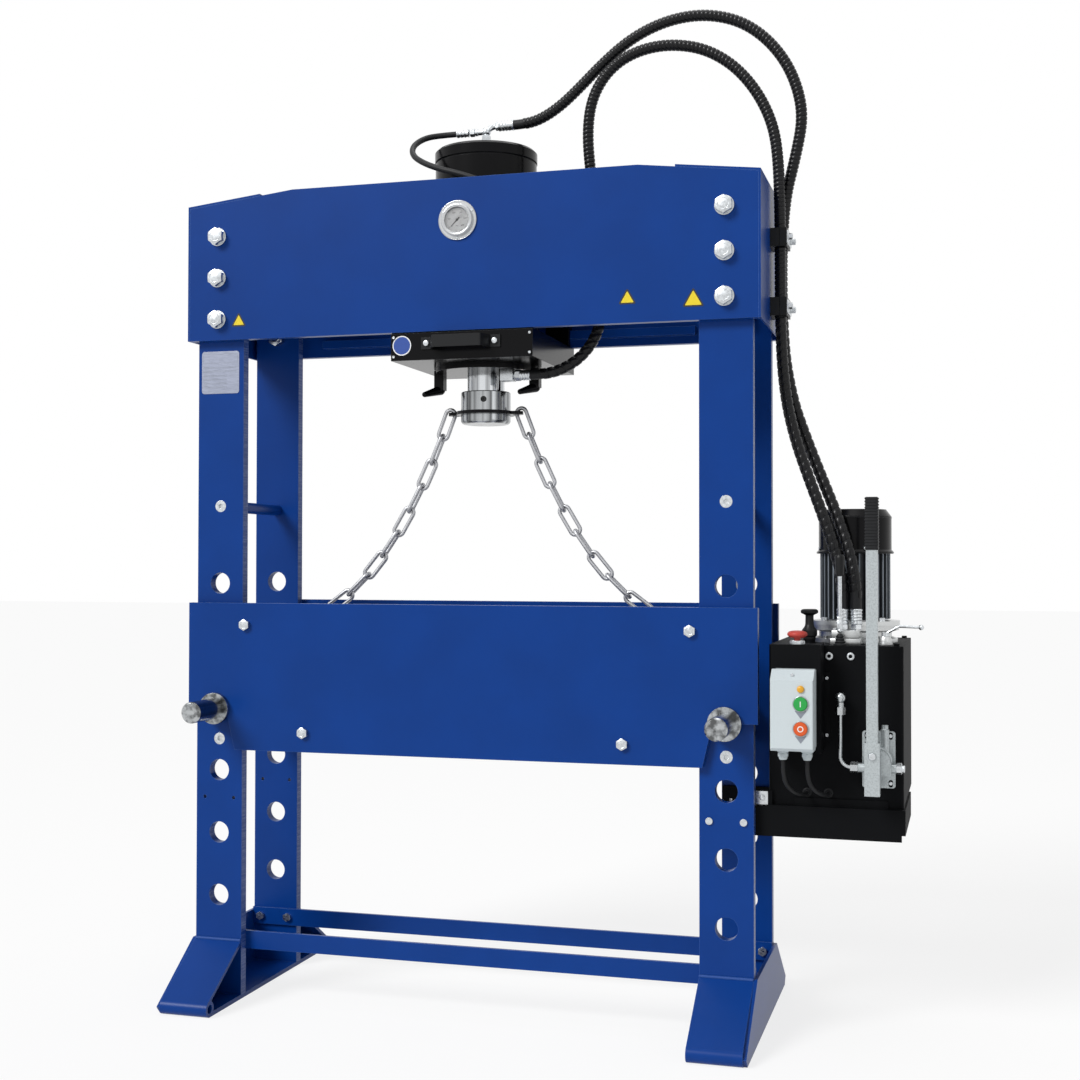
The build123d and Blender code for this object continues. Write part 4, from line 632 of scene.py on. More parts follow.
def grown(name, shape, tree, values, finish):
    """The plain mesh that a tree makes of a shape, with lengths in metres."""
    base = bpy.data.objects.new(name + "_base", mesh_of(shape, name + "_base"))
    modifier = base.modifiers.new("Repeat", "NODES")
    modifier.node_group = tree
    values = {**values, "Finish": finishes[finish]}
    for item in tree.interface.items_tree:
        if item.item_type == "SOCKET" and item.in_out == "INPUT" and item.name in values:
            modifier[item.identifier] = values[item.name]
    return as_mesh(base)


def joined(name, meshes):
    """Several meshes as one."""
    shape = bmesh.new()
    for mesh in meshes:
        shape.from_mesh(mesh)
    mesh = bpy.data.meshes.new(name)
    shape.to_mesh(mesh)
    shape.free()
    return mesh


def with_half_turn(tree, geometry):
    """Geometry together with its copy, turned half round the Z axis."""
    other = add(tree, "GeometryNodeTransform", {"Geometry": geometry, "Rotation": (0, 0, math.pi)})
    both = add(tree, "GeometryNodeJoinGeometry")
    for part in (geometry, other.outputs[0]):
        tree.links.new(part, both.inputs[0])
    return both.outputs[0]


def bolt_pattern_tree():
    """A bolt on both faces of the press, in rows, left and right of the middle."""
    tree, given = start_tree("Bolt pattern", (
        ("Rows", "NodeSocketInt", 3), ("First Row", "NodeSocketFloat", 1.6),
        ("Row Pitch", "NodeSocketFloat", 0.1), ("Half Width", "NodeSocketFloat", 0.6),
        ("Face", "NodeSocketFloat", 0.19)))
    away = add(tree, "ShaderNodeMath", {0: given["Face"], 1: -1.0}, operation="MULTIPLY")
    seat = add(tree, "ShaderNodeCombineXYZ", {"Y": away.outputs[0]})
    bolt = add(tree, "GeometryNodeTransform", {
        "Geometry": given["Geometry"], "Translation": seat.outputs[0], "Rotation": (math.pi / 2, 0, 0)})
    first = add(tree, "ShaderNodeCombineXYZ", {"Z": given["First Row"]})
    step = add(tree, "ShaderNodeCombineXYZ", {"Z": given["Row Pitch"]})
    rows = add(tree, "GeometryNodeMeshLine", {
        "Count": given["Rows"], "Start Location": first.outputs[0], "Offset": step.outputs[0]})
    column = add(tree, "GeometryNodeInstanceOnPoints", {
        "Points": rows.outputs[0], "Instance": bolt.outputs[0]})
    left = add(tree, "ShaderNodeMath", {0: given["Half Width"], 1: -1.0}, operation="MULTIPLY")
    across = add(tree, "ShaderNodeMath", {0: given["Half Width"], 1: 2.0}, operation="MULTIPLY")
    start = add(tree, "ShaderNodeCombineXYZ", {"X": left.outputs[0]})
    width = add(tree, "ShaderNodeCombineXYZ", {"X": across.outputs[0]})
    sides = add(tree, "GeometryNodeMeshLine", {
        "Count": 2, "Start Location": start.outputs[0], "Offset": width.outputs[0]})
    front = add(tree, "GeometryNodeInstanceOnPoints", {
        "Points": sides.outputs[0], "Instance": column.outputs[0]})
    return end_tree(tree, given, with_half_turn(tree, front.outputs[0]))


def row_tree():
    """A shape repeated along a straight line, in equal steps."""
    tree, given = start_tree("Straight row", (
        ("Count", "NodeSocketInt", 2), ("Start", "NodeSocketVector", (0, 0, 0)),
        ("Step", "NodeSocketVector", (0, 0, 0))))
    points = add(tree, "GeometryNodeMeshLine", {
        "Count": given["Count"], "Start Location": given["Start"], "Offset": given["Step"]})
    row = add(tree, "GeometryNodeInstanceOnPoints", {
        "Points": points.outputs[0], "Instance": given["Geometry"]})
    return end_tree(tree, given, row.outputs[0])


def ring_tree():
    """A shape repeated round the Z axis of a place, in equal steps of an angle."""
    tree, given = start_tree("Round row", (
        ("Count", "NodeSocketInt", 8), ("First Angle", "NodeSocketFloat", 0.0),
        ("Angle Step", "NodeSocketFloat", 0.1)))
    points = add(tree, "GeometryNodeMeshLine", {"Count": given["Count"], "Offset": (0, 0, 0)})
    index = add(tree, "GeometryNodeInputIndex")
    turned_by = add(tree, "ShaderNodeMath", {
        0: index.outputs[0], 1: given["Angle Step"], 2: given["First Angle"]}, operation="MULTIPLY_ADD")
    rotation = add(tree, "ShaderNodeCombineXYZ", {"Z": turned_by.outputs[0]})
    ring = add(tree, "GeometryNodeInstanceOnPoints", {
        "Points": points.outputs[0], "Instance": given["Geometry"], "Rotation": rotation.outputs[0]})
    return end_tree(tree, given, ring.outputs[0])


def chain_tree():
    """Links along a catenary, each turned a quarter from its neighbour, and the same turned half round."""
    tree, given = start_tree("Hanging chain", (
        ("Links", "NodeSocketInt", 10), ("Pitch", "NodeSocketFloat", 0.065),
        ("Size", "NodeSocketFloat", 0.28), ("First Slope", "NodeSocketFloat", -2.6),
        ("Start X", "NodeSocketFloat", 0.1), ("Low Z", "NodeSocketFloat", 0.9),
        ("Middle X", "NodeSocketFloat", 0.005)))
    index = add(tree, "GeometryNodeInputIndex").outputs[0]
    steepening = add(tree, "ShaderNodeMath", {0: given["Pitch"], 1: given["Size"]}, operation="DIVIDE")
    slope = add(tree, "ShaderNodeMath", {
        0: index, 1: steepening.outputs[0], 2: given["First Slope"]}, operation="MULTIPLY_ADD").outputs[0]

    def arc_sinh(value):
        square = add(tree, "ShaderNodeMath", {0: value, 1: value, 2: 1.0}, operation="MULTIPLY_ADD")
        root = add(tree, "ShaderNodeMath", {0: square.outputs[0]}, operation="SQRT")
        total = add(tree, "ShaderNodeMath", {0: root.outputs[0], 1: value}, operation="ADD")
        log = add(tree, "ShaderNodeMath", {0: total.outputs[0], 1: math.e}, operation="LOGARITHM")
        return log.outputs[0], root.outputs[0]

    reach, steep = arc_sinh(slope)
    first_reach, _ = arc_sinh(given["First Slope"])
    run = add(tree, "ShaderNodeMath", {0: reach, 1: first_reach}, operation="SUBTRACT")
    x = add(tree, "ShaderNodeMath", {
        0: run.outputs[0], 1: given["Size"], 2: given["Start X"]}, operation="MULTIPLY_ADD")
    rise = add(tree, "ShaderNodeMath", {0: steep, 1: 1.0}, operation="SUBTRACT")
    z = add(tree, "ShaderNodeMath", {
        0: rise.outputs[0], 1: given["Size"], 2: given["Low Z"]}, operation="MULTIPLY_ADD")
    place = add(tree, "ShaderNodeCombineXYZ", {"X": x.outputs[0], "Z": z.outputs[0]})
    points = add(tree, "GeometryNodeMeshLine", {"Count": given["Links"], "Offset": (0, 0, 0)})
    hung = add(tree, "GeometryNodeSetPosition", {
        "Geometry": points.outputs[0], "Position": place.outputs[0]})
    lean = add(tree, "ShaderNodeMath", {0: slope}, operation="ARCTANGENT")
    down = add(tree, "ShaderNodeMath", {0: lean.outputs[0], 1: -1.0}, operation="MULTIPLY")
    odd = add(tree, "ShaderNodeMath", {0: index, 1: 2.0}, operation="MODULO")
    even = add(tree, "ShaderNodeMath", {0: 1.0, 1: odd.outputs[0]}, operation="SUBTRACT")
    roll = add(tree, "ShaderNodeMath", {0: even.outputs[0], 1: math.pi / 2}, operation="MULTIPLY")
    turn = add(tree, "ShaderNodeCombineXYZ", {"X": roll.outputs[0], "Y": down.outputs[0]})
    chain = add(tree, "GeometryNodeInstanceOnPoints", {
        "Points": hung.outputs[0], "Instance": given["Geometry"], "Rotation": turn.outputs[0]})
    middle = add(tree, "ShaderNodeCombineXYZ", {"X": given["Middle X"]})
    moved = add(tree, "GeometryNodeTransform", {
        "Geometry": with_half_turn(tree, chain.outputs[0]), "Translation": middle.outputs[0]})
    return end_tree(tree, given, moved.outputs[0])


def bolt_pattern(name, shape, finish, rows, first_row, pitch, half_width, face):
    """A bolt repeated on both faces of the press."""
    return grown(name, shape, bolt_pattern_tree(), {
        "Rows": rows, "First Row": first_row, "Row Pitch": pitch, "Half Width": half_width,
        "Face": face}, finish)


def straight_row(name, shape, finish, count, start, step):
    """A shape repeated in a straight row."""
    return grown(name, shape, row_tree(), {"Count": count, "Start": start, "Step": step}, finish)


def round_row(name, shape, finish, count, first=0.0, step=None):
    """A shape repeated round the Z axis, over a full turn unless a step is given."""
    if step is None:
        step = math.tau / count
    return grown(name, shape, ring_tree(), {
        "Count": count, "First Angle": first, "Angle Step": step}, finish)


# Routes of the hoses and cables
def smooth_path(points):
    """The smooth line that a hose takes, with the route's points as its control points."""
    curve = bpy.data.curves.new("route", "CURVE")
    curve.dimensions = "3D"
    curve.resolution_u = 16
    spline = curve.splines.new("NURBS")
    spline.points.add(len(points) - 1)
    for knot, point in zip(spline.points, points):
        knot.co = (*point, 1)
    spline.order_u = 3
    spline.use_endpoint_u = True
    mesh = as_mesh(bpy.data.objects.new("route", curve))
    path = [vert.co.copy() for vert in mesh.vertices]
    bpy.data.curves.remove(curve)
    bpy.data.meshes.remove(mesh)
    return path


class Route:
    """A smooth line whose frame doesn't twist, read by the length from its start, in metres."""

    def __init__(self, path):
        self.path = path
        self.marks = [0.0]
        tangents = [(b - a).normalized() for a, b in zip(path, path[1:])]
        tangents.append(tangents[-1])
        normal = tangents[0].orthogonal().normalized()
        self.normals = []
        self.tangents = tangents
        for a, b in zip(path, path[1:]):
            self.marks.append(self.marks[-1] + (b - a).length)
        for tangent in tangents:
            normal = (normal - tangent * normal.dot(tangent)).normalized()
            self.normals.append(normal)
        self.length = self.marks[-1]

    def spot(self, length):
        """The point at that length, with two directions square to the line."""
        length = min(max(length, 0.0), self.length)
        i = min(bisect.bisect_right(self.marks, length), len(self.path) - 1) - 1
        share = (length - self.marks[i]) / (self.marks[i + 1] - self.marks[i])
        point = self.path[i].lerp(self.path[i + 1], share)
        normal = self.normals[i].lerp(self.normals[i + 1], share).normalized()
        return point, normal, self.tangents[i].cross(normal).normalized()


def spiral_guard(shape, route, start, end, radius, thick, pitch_at, cover=0.8, steps=18):
    """A flat plastic band wound round a hose. It covers that share of its pitch, and the rest is a gap."""
    angle, length = 0.0, start
    rings = []
    while length < end:
        pitch = pitch_at(route.spot(length)[0])
        half = pitch * cover / 2
        section = ((-half, radius - thick), (-half, radius - thick / 2), (-half * 0.75, radius),
                   (half * 0.75, radius), (half, radius - thick / 2), (half, radius - thick))
        ring = []
        for shift, away in section:
            point, normal, side = route.spot(length + shift)
            ring.append(shape.verts.new(point + (normal * math.cos(angle) + side * math.sin(angle)) * away))
        rings.append(ring)
        angle += math.tau / steps
        length += pitch / steps
    skin(shape, rings)


hose_return_route = (
    (0.069, 0.008, 2.105), (0.106, 0.008, 2.105), (0.148, 0.008, 2.117), (0.194, 0.008, 2.145),
    (0.241, 0.008, 2.186), (0.29, 0.008, 2.232), (0.349, 0.008, 2.279), (0.412, 0.008, 2.311),
    (0.481, 0.008, 2.328), (0.552, 0.008, 2.327), (0.622, 0.008, 2.305), (0.68, 0.008, 2.262),
    (0.726, 0.008, 2.203), (0.754, 0.008, 2.137), (0.765, 0.009, 2.07), (0.752, 0.011, 1.995),
    (0.716, 0.0145, 1.855), (0.716, 0.0145, 1.565), (0.738, 0.012, 1.425), (0.774, 0.002, 1.325),
    (0.81, -0.012, 1.235), (0.844, -0.027, 1.152), (0.872, -0.041, 1.072), (0.887, -0.05, 1.0),
    (0.887, -0.05, 0.945))
hose_pressure_route = (
    (0.132, -0.055, 1.49), (0.172, -0.055, 1.49), (0.217, -0.052, 1.503), (0.254, -0.044, 1.529),
    (0.282, -0.034, 1.567), (0.298, -0.024, 1.616), (0.302, -0.016, 1.7), (0.296, -0.01, 1.795),
    (0.28, -0.008, 1.89), (0.266, -0.008, 1.985), (0.26, -0.008, 2.066), (0.268, -0.008, 2.138),
    (0.296, -0.008, 2.194), (0.34, -0.008, 2.234), (0.398, -0.008, 2.256), (0.466, -0.008, 2.26),
    (0.54, -0.008, 2.243), (0.606, -0.008, 2.201), (0.658, -0.008, 2.14), (0.694, -0.009, 2.068),
    (0.71, -0.011, 1.995), (0.716, -0.0145, 1.855), (0.716, -0.0145, 1.565), (0.728, -0.026, 1.425),
    (0.752, -0.038, 1.325), (0.782, -0.048, 1.24), (0.812, -0.054, 1.16), (0.838, -0.055, 1.085),
    (0.857, -0.05, 1.015), (0.857, -0.05, 0.945))
gauge_hose_route = (
    (-0.07, 0.0, 2.091), (-0.108, 0.0, 2.091), (-0.146, -0.018, 2.083), (-0.165, -0.054, 2.055),
    (-0.152, -0.09, 2.021), (-0.112, -0.118, 1.993), (-0.066, -0.136, 1.972), (-0.02, -0.147, 1.957),
    (0.027, -0.1505, 1.94), (0.072, -0.1505, 1.918), (0.087, -0.1505, 1.889), (0.08, -0.1505, 1.857),
    (0.054, -0.1505, 1.836), (0.021, -0.1505, 1.836))
supply_cable_route = (
    (0.746, -0.226, 0.628), (0.746, -0.226, 0.6), (0.751, -0.219, 0.574), (0.763, -0.203, 0.558),
    (0.776, -0.181, 0.549), (0.786, -0.158, 0.546), (0.786, -0.134, 0.546))
motor_cable_route = (
    (0.797, -0.226, 0.628), (0.797, -0.226, 0.6), (0.801, -0.218, 0.576), (0.811, -0.202, 0.56),
    (0.823, -0.181, 0.55), (0.832, -0.158, 0.546), (0.832, -0.134, 0.546))


def lay_cord(name, points, radius, finish, blend=None, guard=None):
    """A hose or cable along its route, with the band of its guard where it has one."""
    route = Route(smooth_path(points))
    shape = bmesh.new()
    tube(shape, route.path, radius)
    piece = finished(name + "_line", shape, finish, "frame", (name,), blend=blend)
    if guard:
        shape = bmesh.new()
        spiral_guard(shape, route, **guard(route))
        finished(name + "_guard", shape, "guard", "frame", blend=blend,
                                    sharp=50)


# Small parts that several pieces share
def bolt(shape, place, flats, high, washer=0.0, washer_thick=0.0):
    """A hexagon head with the raised rim on its top, and a washer under it where it has one."""
    if washer:
        turned(shape, place, ((washer / 2 - 0.4, 0), (washer / 2, 0.4), (washer / 2, washer_thick - 0.6),
                              (washer / 2 - 0.7, washer_thick)))
    rim, foot, top = flats * 0.37, washer_thick + high * 0.9, washer_thick + high
    hexagonal(shape, place, flats, washer_thick, washer_thick + high * 0.96)
    ring_body(shape, place, ((rim, foot), (rim, top), (rim - 0.9, top), (rim - 1.6, foot)))


def cap_screw(shape, place, head, high, socket):
    """A socket cap screw: a round head with the edge of its hexagon socket."""
    turned(shape, place, ((head / 2, 0), (head / 2, high - 0.6), (head / 2 - 0.6, high),
                          (socket * 0.62, high), (socket * 0.55, high - 0.5)), steps=24)


def crimped_ferrule(shape, place, radius, long, ribs):
    """A hose's end sleeve, pressed into ribs."""
    profile = [(radius - 2, 0), (radius, 1.0)]
    step = (long - 6) / ribs
    for i in range(ribs):
        low = 3 + i * step
        profile += [(radius, low), (radius - 1.1, low + step * 0.2), (radius - 1.1, low + step * 0.7),
                    (radius, low + step * 0.9)]
    profile += [(radius, long - 1.5), (radius - 1.5, long)]
    turned(shape, place, profile, steps=32)


def nut(shape, place, flats, low, high):
    """A hexagon nut, turned off at both ends."""
    hexagonal(shape, place, flats, low, high, chamfer_low=True)


def disc(shape, place, radius, thick, steps=48):
    """A flat round plate."""
    turned(shape, place, ((radius, 0), (radius, thick)), steps)


def round_corners(corners, radius, steps=5):
    """An outline whose corners are rounded off."""
    outline = []
    count = len(corners)
    for i in range(count):
        corner = Vector(corners[i])
        into = (Vector(corners[i - 1]) - corner).normalized()
        out = (Vector(corners[(i + 1) % count]) - corner).normalized()
        half = into.angle(out) / 2
        away = radius / math.tan(half)
        middle = corner + (into + out).normalized() * radius / math.sin(half)
        start = corner + into * away - middle
        end = corner + out * away - middle
        for step in range(steps + 1):
            outline.append(tuple(middle + start.lerp(end, step / steps).normalized() * radius))
    return outline


# Pieces
painted_nodes = {
    "blue": ("foot_left", "foot_right", "beam_front_plate", "beam_rear_plate", "beam_end_caps",
             "column_spacers", "lower_rails", "table_front_plate", "table_rear_plate"),
    "cut_blue": ("upright_front_left", "upright_front_right", "upright_rear_left", "upright_rear_right"),
    "black": ("carriage_plate", "carriage_cover", "cylinder_barrel", "gland_flange", "lifting_ring",
              "fan_cowl"),
    "powder": ("pump_arms", "tank_tray", "oil_tank", "tank_lid", "control_panel"),
    "zinc": ("frame_screws", "selector_lever", "estop_collar"),
    "pipe": ("oil_pipe",),
    "chrome": ("piston_rod",),
    "turned": ("nose_collar",),
    "stainless": ("gauge_case",),
    "turned_pin": ("pin_left", "pin_right"),
    "aluminium": ("bell_housing", "motor_rotor"),
    "motor": ("motor_body",),
    "hammer": ("hand_pump_body", "hand_pump_lever"),
    "box": ("starter_base", "starter_cover"),
    "green": ("start_button",),
    "orange": ("stop_button",),
    "red": ("estop_button",),
    "ink": ("gauge_needle",),
    "satin": ("carriage_handle",),
}


class PRESS_OT_paint(bpy.types.Operator):
    """Mixes the finishes and paints the pieces whose shape the frame already has"""
    bl_idname = "press.paint"
    bl_label = "Paint the frame"

    def execute(self, context):
        mix_finishes(context.scene.press_paint)
        for finish, names in painted_nodes.items():
            for name in names:
                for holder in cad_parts[name].material_slots:
                    holder.material = finishes[finish]
        return {"FINISHED"}


class PRESS_OT_marks(bpy.types.Operator):
    """Bare rating plate on the left upright, plain yellow fields on the beam and a plain blue disc"""
    bl_idname = "press.marks"
    bl_label = "Plates and plain signs"

    def execute(self, context):
        plate_x, plate_z, plate_wide, plate_high, plate_thick = -617, 1506.5, 100, 103, 0.8
        shape = bmesh.new()
        slab(shape, at(plate_x, UPRIGHT_FACE, plate_z, FRONT), rounded_box(plate_wide, plate_high, 7),
             plate_thick, soften=0.3)
        finished("rating_plate", shape, "plate", "frame")
        shape = bmesh.new()
        rows = ((0, 34, 92, 22), (-2, 12, 88, 3), (-2, 3, 88, 3), (-14, -8, 62, 3), (-14, -17, 62, 3),
                (-14, -26, 62, 3), (-14, -35, 62, 3))
        line, ink = 0.6, 0.08
        for x, z, wide, high in rows:
            outer = rounded_box(wide, high, 1.2, steps=2)
            inner = rounded_box(wide - 2 * line, high - 2 * line, 0.6, steps=2)
            place = at(plate_x + x, UPRIGHT_FACE - plate_thick, plate_z + z, FRONT)
            skin(shape, levels_of(shape, place, ((outer, 0), (outer, ink), (inner, ink), (inner, 0))),
                 closed=False)
        finished("rating_plate_fields", shape, "grey_ink_and_painted_shade", "frame")

        signs = ((-559, 1629, 40), (397, 1640, 42), (546, 1631, 50))
        for name, finish, rim, depth, round_off in (("sign_borders", "ink", 0, 0.25, 3),
                                                    ("sign_fields", "yellow", 3.5, 0.4, 1.2)):
            shape = bmesh.new()
            for x, z, size in signs:
                wide = size - rim * 3.46
                foot, tip = -wide * 0.289, wide * 0.577
                outline = round_corners([(-wide / 2, foot), (wide / 2, foot), (0, tip)], round_off)
                slab(shape, at(x, BEAM_FACE, z - size * 0.1, FRONT), outline, depth)
            finished(name, shape, finish, "frame")

        for name, finish, radius, depth in (("round_sign_rim", "white", 23, 0.3),
                                            ("round_sign_disc", "sign_blue", 20.5, 0.42)):
            shape = bmesh.new()
            disc(shape, at(-140, COVER_FACE, 1551, FRONT), radius, depth)
            finished(name, shape, finish, "carriage")
        return {"FINISHED"}


class PRESS_OT_welds(bpy.types.Operator):
    """Rippled weld beads where the feet's sloping sheets meet the uprights"""
    bl_idname = "press.welds"
    bl_label = "Weld beads"

    def execute(self, context):
        ripples, ripple_step = 37, 3.2 * MM
        ripple = Matrix.Diagonal((0.0034, 0.0042, 0.0042, 1))
        left_bead, right_bead, out, up = -0.673, 0.557, 0.1685, 0.1395
        meshes = []
        for face in (-1, 1):
            for start_x in (left_bead, right_bead):
                shape = bmesh.new()
                bmesh.ops.create_uvsphere(shape, u_segments=10, v_segments=6, radius=1, matrix=ripple)
                meshes.append(straight_row("bead", shape, "blue", ripples, (start_x, face * out, up),
                                           (ripple_step, 0, 0)))
        place_piece("foot_weld_beads", joined("foot_weld_beads", meshes), "blue", "frame",
                    sharp=60)
        return {"FINISHED"}


class PRESS_OT_bolts(bpy.types.Operator):
    """Beam bolts with their washers and nuts, and the table's bolts and spacer tubes"""
    bl_idname = "press.bolts"
    bl_label = "Bolts"

    def execute(self, context):
        sizes = context.scene.press_fasteners
        flats, high = sizes.beam_bolt_flats / MM, sizes.beam_bolt_head / MM
        shape = bmesh.new()
        bolt(shape, UP, flats, high, washer=44, washer_thick=4)
        turned(shape, UP, ((12, -68), (12, 3)), steps=24)
        nut(shape, UP, flats, -64, -45)
        mesh = bolt_pattern("beam_bolt", shape, "zinc", 3, 1.632, 0.1, 0.615, 0.1875)
        place_piece("beam_bolt_set", mesh, "zinc", "frame", ("beam_bolts",))

        flats, high = sizes.table_bolt_flats / MM, sizes.table_bolt_head / MM
        tube_half, bore, outside, soften = 168, 8.1, 14, 0.8
        wall = [(bore, soften), (bore + 0.7, 0), (outside - 0.6, 0), (outside, soften)]
        outline = wall + [(radius, 2 * tube_half - height) for radius, height in reversed(wall)]
        meshes = []
        shape = bmesh.new()
        for half_width, row in ((538, 897), (386, 644)):
            screw = bmesh.new()
            bolt(screw, UP, flats, high)
            turned(screw, UP, ((8, -50), (8, 2)), steps=24)
            meshes.append(bolt_pattern("table_bolt", screw, "zinc", 1, row * MM, 0.1, half_width * MM, 0.188))
            for side in (-1, 1):
                ring_body(shape, at(side * half_width, tube_half, row, FRONT), outline, steps=32)
        meshes.append(mesh_of(shape, "spacer_tubes"))
        place_piece("table_bolt_set", joined("table_bolt_set", meshes), "zinc", "table",
                    ("table_spacers",))
        return {"FINISHED"}


class PRESS_OT_gauge(bpy.types.Operator):
    """The gauge's rolled bezel, flange screws, dial with its scale, and window"""
    bl_idname = "press.gauge"
    bl_label = "Pressure gauge"

    def execute(self, context):
        middle_x, middle_z, dial_face = -3, 1836, -191.5

        def seat(depth, x=0.0, z=0.0):
            return at(middle_x + x, depth, middle_z + z, FRONT)

        shape = bmesh.new()
        place = seat(BEAM_FACE)
        ring_body(shape, place, bead(45.2, 2.6, 1.1, 1.1, 10), steps=72)
        ring_body(shape, place, bead(34.3, 10.6, 3.0, 1.7, 14), steps=72)
        ring_body(shape, place, ((30.2, 4.1), (31.6, 10), (30.2, 11), (29.4, 10.4), (29.4, 4.1)), steps=72)
        finished("gauge_bezel_rings", shape, "stainless", "frame", sharp=40)
        shape = bmesh.new()
        cap_screw(shape, at(41.3, 0, 0), 5.0, 2.6, 2.4)
        screws = round_row("flange_screw", shape, "zinc", 3, math.radians(30))
        screws.transform(seat(BEAM_FACE - 3))
        place_piece("gauge_flange_screws", screws, "zinc", "frame")

        shape = bmesh.new()
        disc(shape, seat(dial_face + 0.05), 29.9, 0.1, steps=72)
        finished("gauge_dial", shape, "white", "frame")
        long_tick, short_tick, tick_ends, first, sweep, marks = 3.4, 1.8, 26.4, 225, 270, 40
        meshes = []
        for count, tick, wide in ((marks + 1, short_tick, 0.28), (marks // 8 + 1, long_tick, 0.6)):
            shape = bmesh.new()
            block(shape, (tick_ends - tick, -wide / 2, 0), (tick_ends, wide / 2, 0.1), soften=0.03,
                  segments=1)
            meshes.append(round_row("tick", shape, "ink", count, math.radians(first),
                                    -math.radians(sweep) / (count - 1)))
            meshes[-1].transform(seat(dial_face - 0.05))
        shape = bmesh.new()
        numbers, numbers_out, print_face = ("0", "80", "160", "240", "320", "400"), 18.6, dial_face - 0.07
        for i, text in enumerate(numbers):
            angle = math.radians(first - sweep * i / (len(numbers) - 1))
            lettering(shape, seat(print_face, numbers_out * math.cos(angle), numbers_out * math.sin(angle)),
                      text, 5.6)
        lettering(shape, seat(print_face, z=-13), "bar", 4.6)
        meshes.append(mesh_of(shape, "numbers"))
        place_piece("gauge_scale", joined("gauge_scale", meshes), "ink", "frame")
        # Painted shadow: a grey arc at the top of the dial, where the bezel's shadow falls
        shape = bmesh.new()
        angles = [math.radians(a) for a in range(40, 141, 4)]
        arc = [(29.6 * math.cos(a), 29.6 * math.sin(a)) for a in angles]
        arc += [(27.5 * math.cos(a), 27.5 * math.sin(a)) for a in reversed(angles)]
        slab(shape, seat(dial_face - 0.06), arc, 0.06)
        finished("gauge_bezel_shadow", shape, "grey_ink_and_painted_shade", "frame")
        shape = bmesh.new()
        turned(shape, seat(dial_face - 4.2), ((29.6, 0), (29.6, 1.0), (20, 1.5), (8, 1.75), (0.5, 1.8)),
               steps=72)
        finished("gauge_window", shape, "glass", "frame")
        return {"FINISHED"}


def hang(step, pitch):
    """Middle and slope of a chain's link, along its catenary."""
    slope = FIRST_SLOPE + step * pitch / CATENARY
    return (START_X + CATENARY * (math.asinh(slope) - math.asinh(FIRST_SLOPE)),
            LOW_Z + CATENARY * (math.hypot(1, slope) - 1), slope)


def oval(half_spread, bend_radius, steps=12):
    """The middle line of a link: two half circles and the straights between them, in its XY plane."""
    points = []
    for end in (1, -1):
        for i in range(steps + 1):
            angle = -math.pi / 2 + math.pi * i / steps + (0 if end > 0 else math.pi)
            points.append(Vector((end * half_spread + bend_radius * math.cos(angle),
                                  bend_radius * math.sin(angle), 0)))
    return points


class PRESS_OT_chains(bpy.types.Operator):
    """Two lifting chains from the ring on the ram to the table's upper tubes, each with its shackle"""
    bl_idname = "press.chains"
    bl_label = "Lifting chains"

    def execute(self, context):
        sizes = context.scene.press_chain
        wire = sizes.wire / 2
        bend = sizes.inside_width / 2 + wire
        half_spread = (sizes.inside_length - sizes.inside_width) / 2
        shape = bmesh.new()
        tube(shape, oval(half_spread, bend), wire, sides=12, closed=True)
        meshes = [grown("chain_link", shape, chain_tree(), {
            "Links": sizes.links, "Pitch": sizes.pitch, "Size": CATENARY, "First Slope": FIRST_SLOPE,
            "Start X": START_X, "Low Z": LOW_Z, "Middle X": MIDDLE_X}, "galvanised")]
        table_tube_x, table_tube_z, wire_gap, shackle_bend = 0.538, 0.897, 0.00945, 0.01975
        across = Vector((0, 1, 0))
        x, z, slope = hang(sizes.links - 1, sizes.pitch)
        shape = bmesh.new()
        for side in (-1, 1):
            run = Vector((side, 0, slope)).normalized()
            last_wire = Vector((MIDDLE_X + side * x, 0, z)) + run * (sizes.inside_length + sizes.wire) / 2
            table_tube = Vector((side * table_tube_x, 0, table_tube_z))
            towards = (table_tube - last_wire).normalized()
            link_end = last_wire + towards * wire_gap
            turn = Matrix((towards, across.cross(towards), across)).transposed().to_4x4()
            place = Matrix.Translation((link_end + table_tube) / 2) @ turn
            line = [place @ p for p in oval((table_tube - link_end).length / 2, shackle_bend)]
            tube(shape, line, wire, sides=12, closed=True)
        meshes.append(mesh_of(shape, "shackles"))
        piece = place_piece("chain_pair", joined("chain_pair", meshes), "galvanised", "ram",
                            ("lifting_chains",), sharp=60)
        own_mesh(piece)
        return {"FINISHED"}


class PRESS_OT_hoses(bpy.types.Operator):
    """Both hydraulic hoses in their spiral guards, and the gauge's thin hose"""
    bl_idname = "press.hoses"
    bl_label = "Hoses"

    def execute(self, context):
        sizes = context.scene.press_hoses
        outside = sizes.hose / 2 + 0.2 * MM
        hose_radius = outside - 1.5 * MM
        bare_end, guard_thick = 0.03, 1.6 * MM
        clamp_top, clamp_bottom = 1.72, 1.6

        def pitch_at(point):
            share = min(max((clamp_top - point.z) / (clamp_top - clamp_bottom), 0), 1)
            return sizes.guard_pitch_top + (sizes.guard_pitch_low - sizes.guard_pitch_top) * share

        def guard(route):
            return {"start": bare_end, "end": route.length - bare_end, "radius": outside,
                    "thick": guard_thick, "pitch_at": pitch_at}

        lay_cord("hose_return", hose_return_route, hose_radius, "rubber",
                 blend=("frame", "carriage", (0.7, 0, 0), (0.07, 0, 0)), guard=guard)
        lay_cord("hose_pressure", hose_pressure_route, hose_radius, "rubber",
                 blend=("frame", "carriage", (0.7, 0, 0), (0.33, 0, 0)), guard=guard)
        lay_cord("gauge_hose", gauge_hose_route, 7 * MM, "rubber",
                 blend=("frame", "carriage", (0, 0, 1.86), (0, 0, 2.02)))
        return {"FINISHED"}


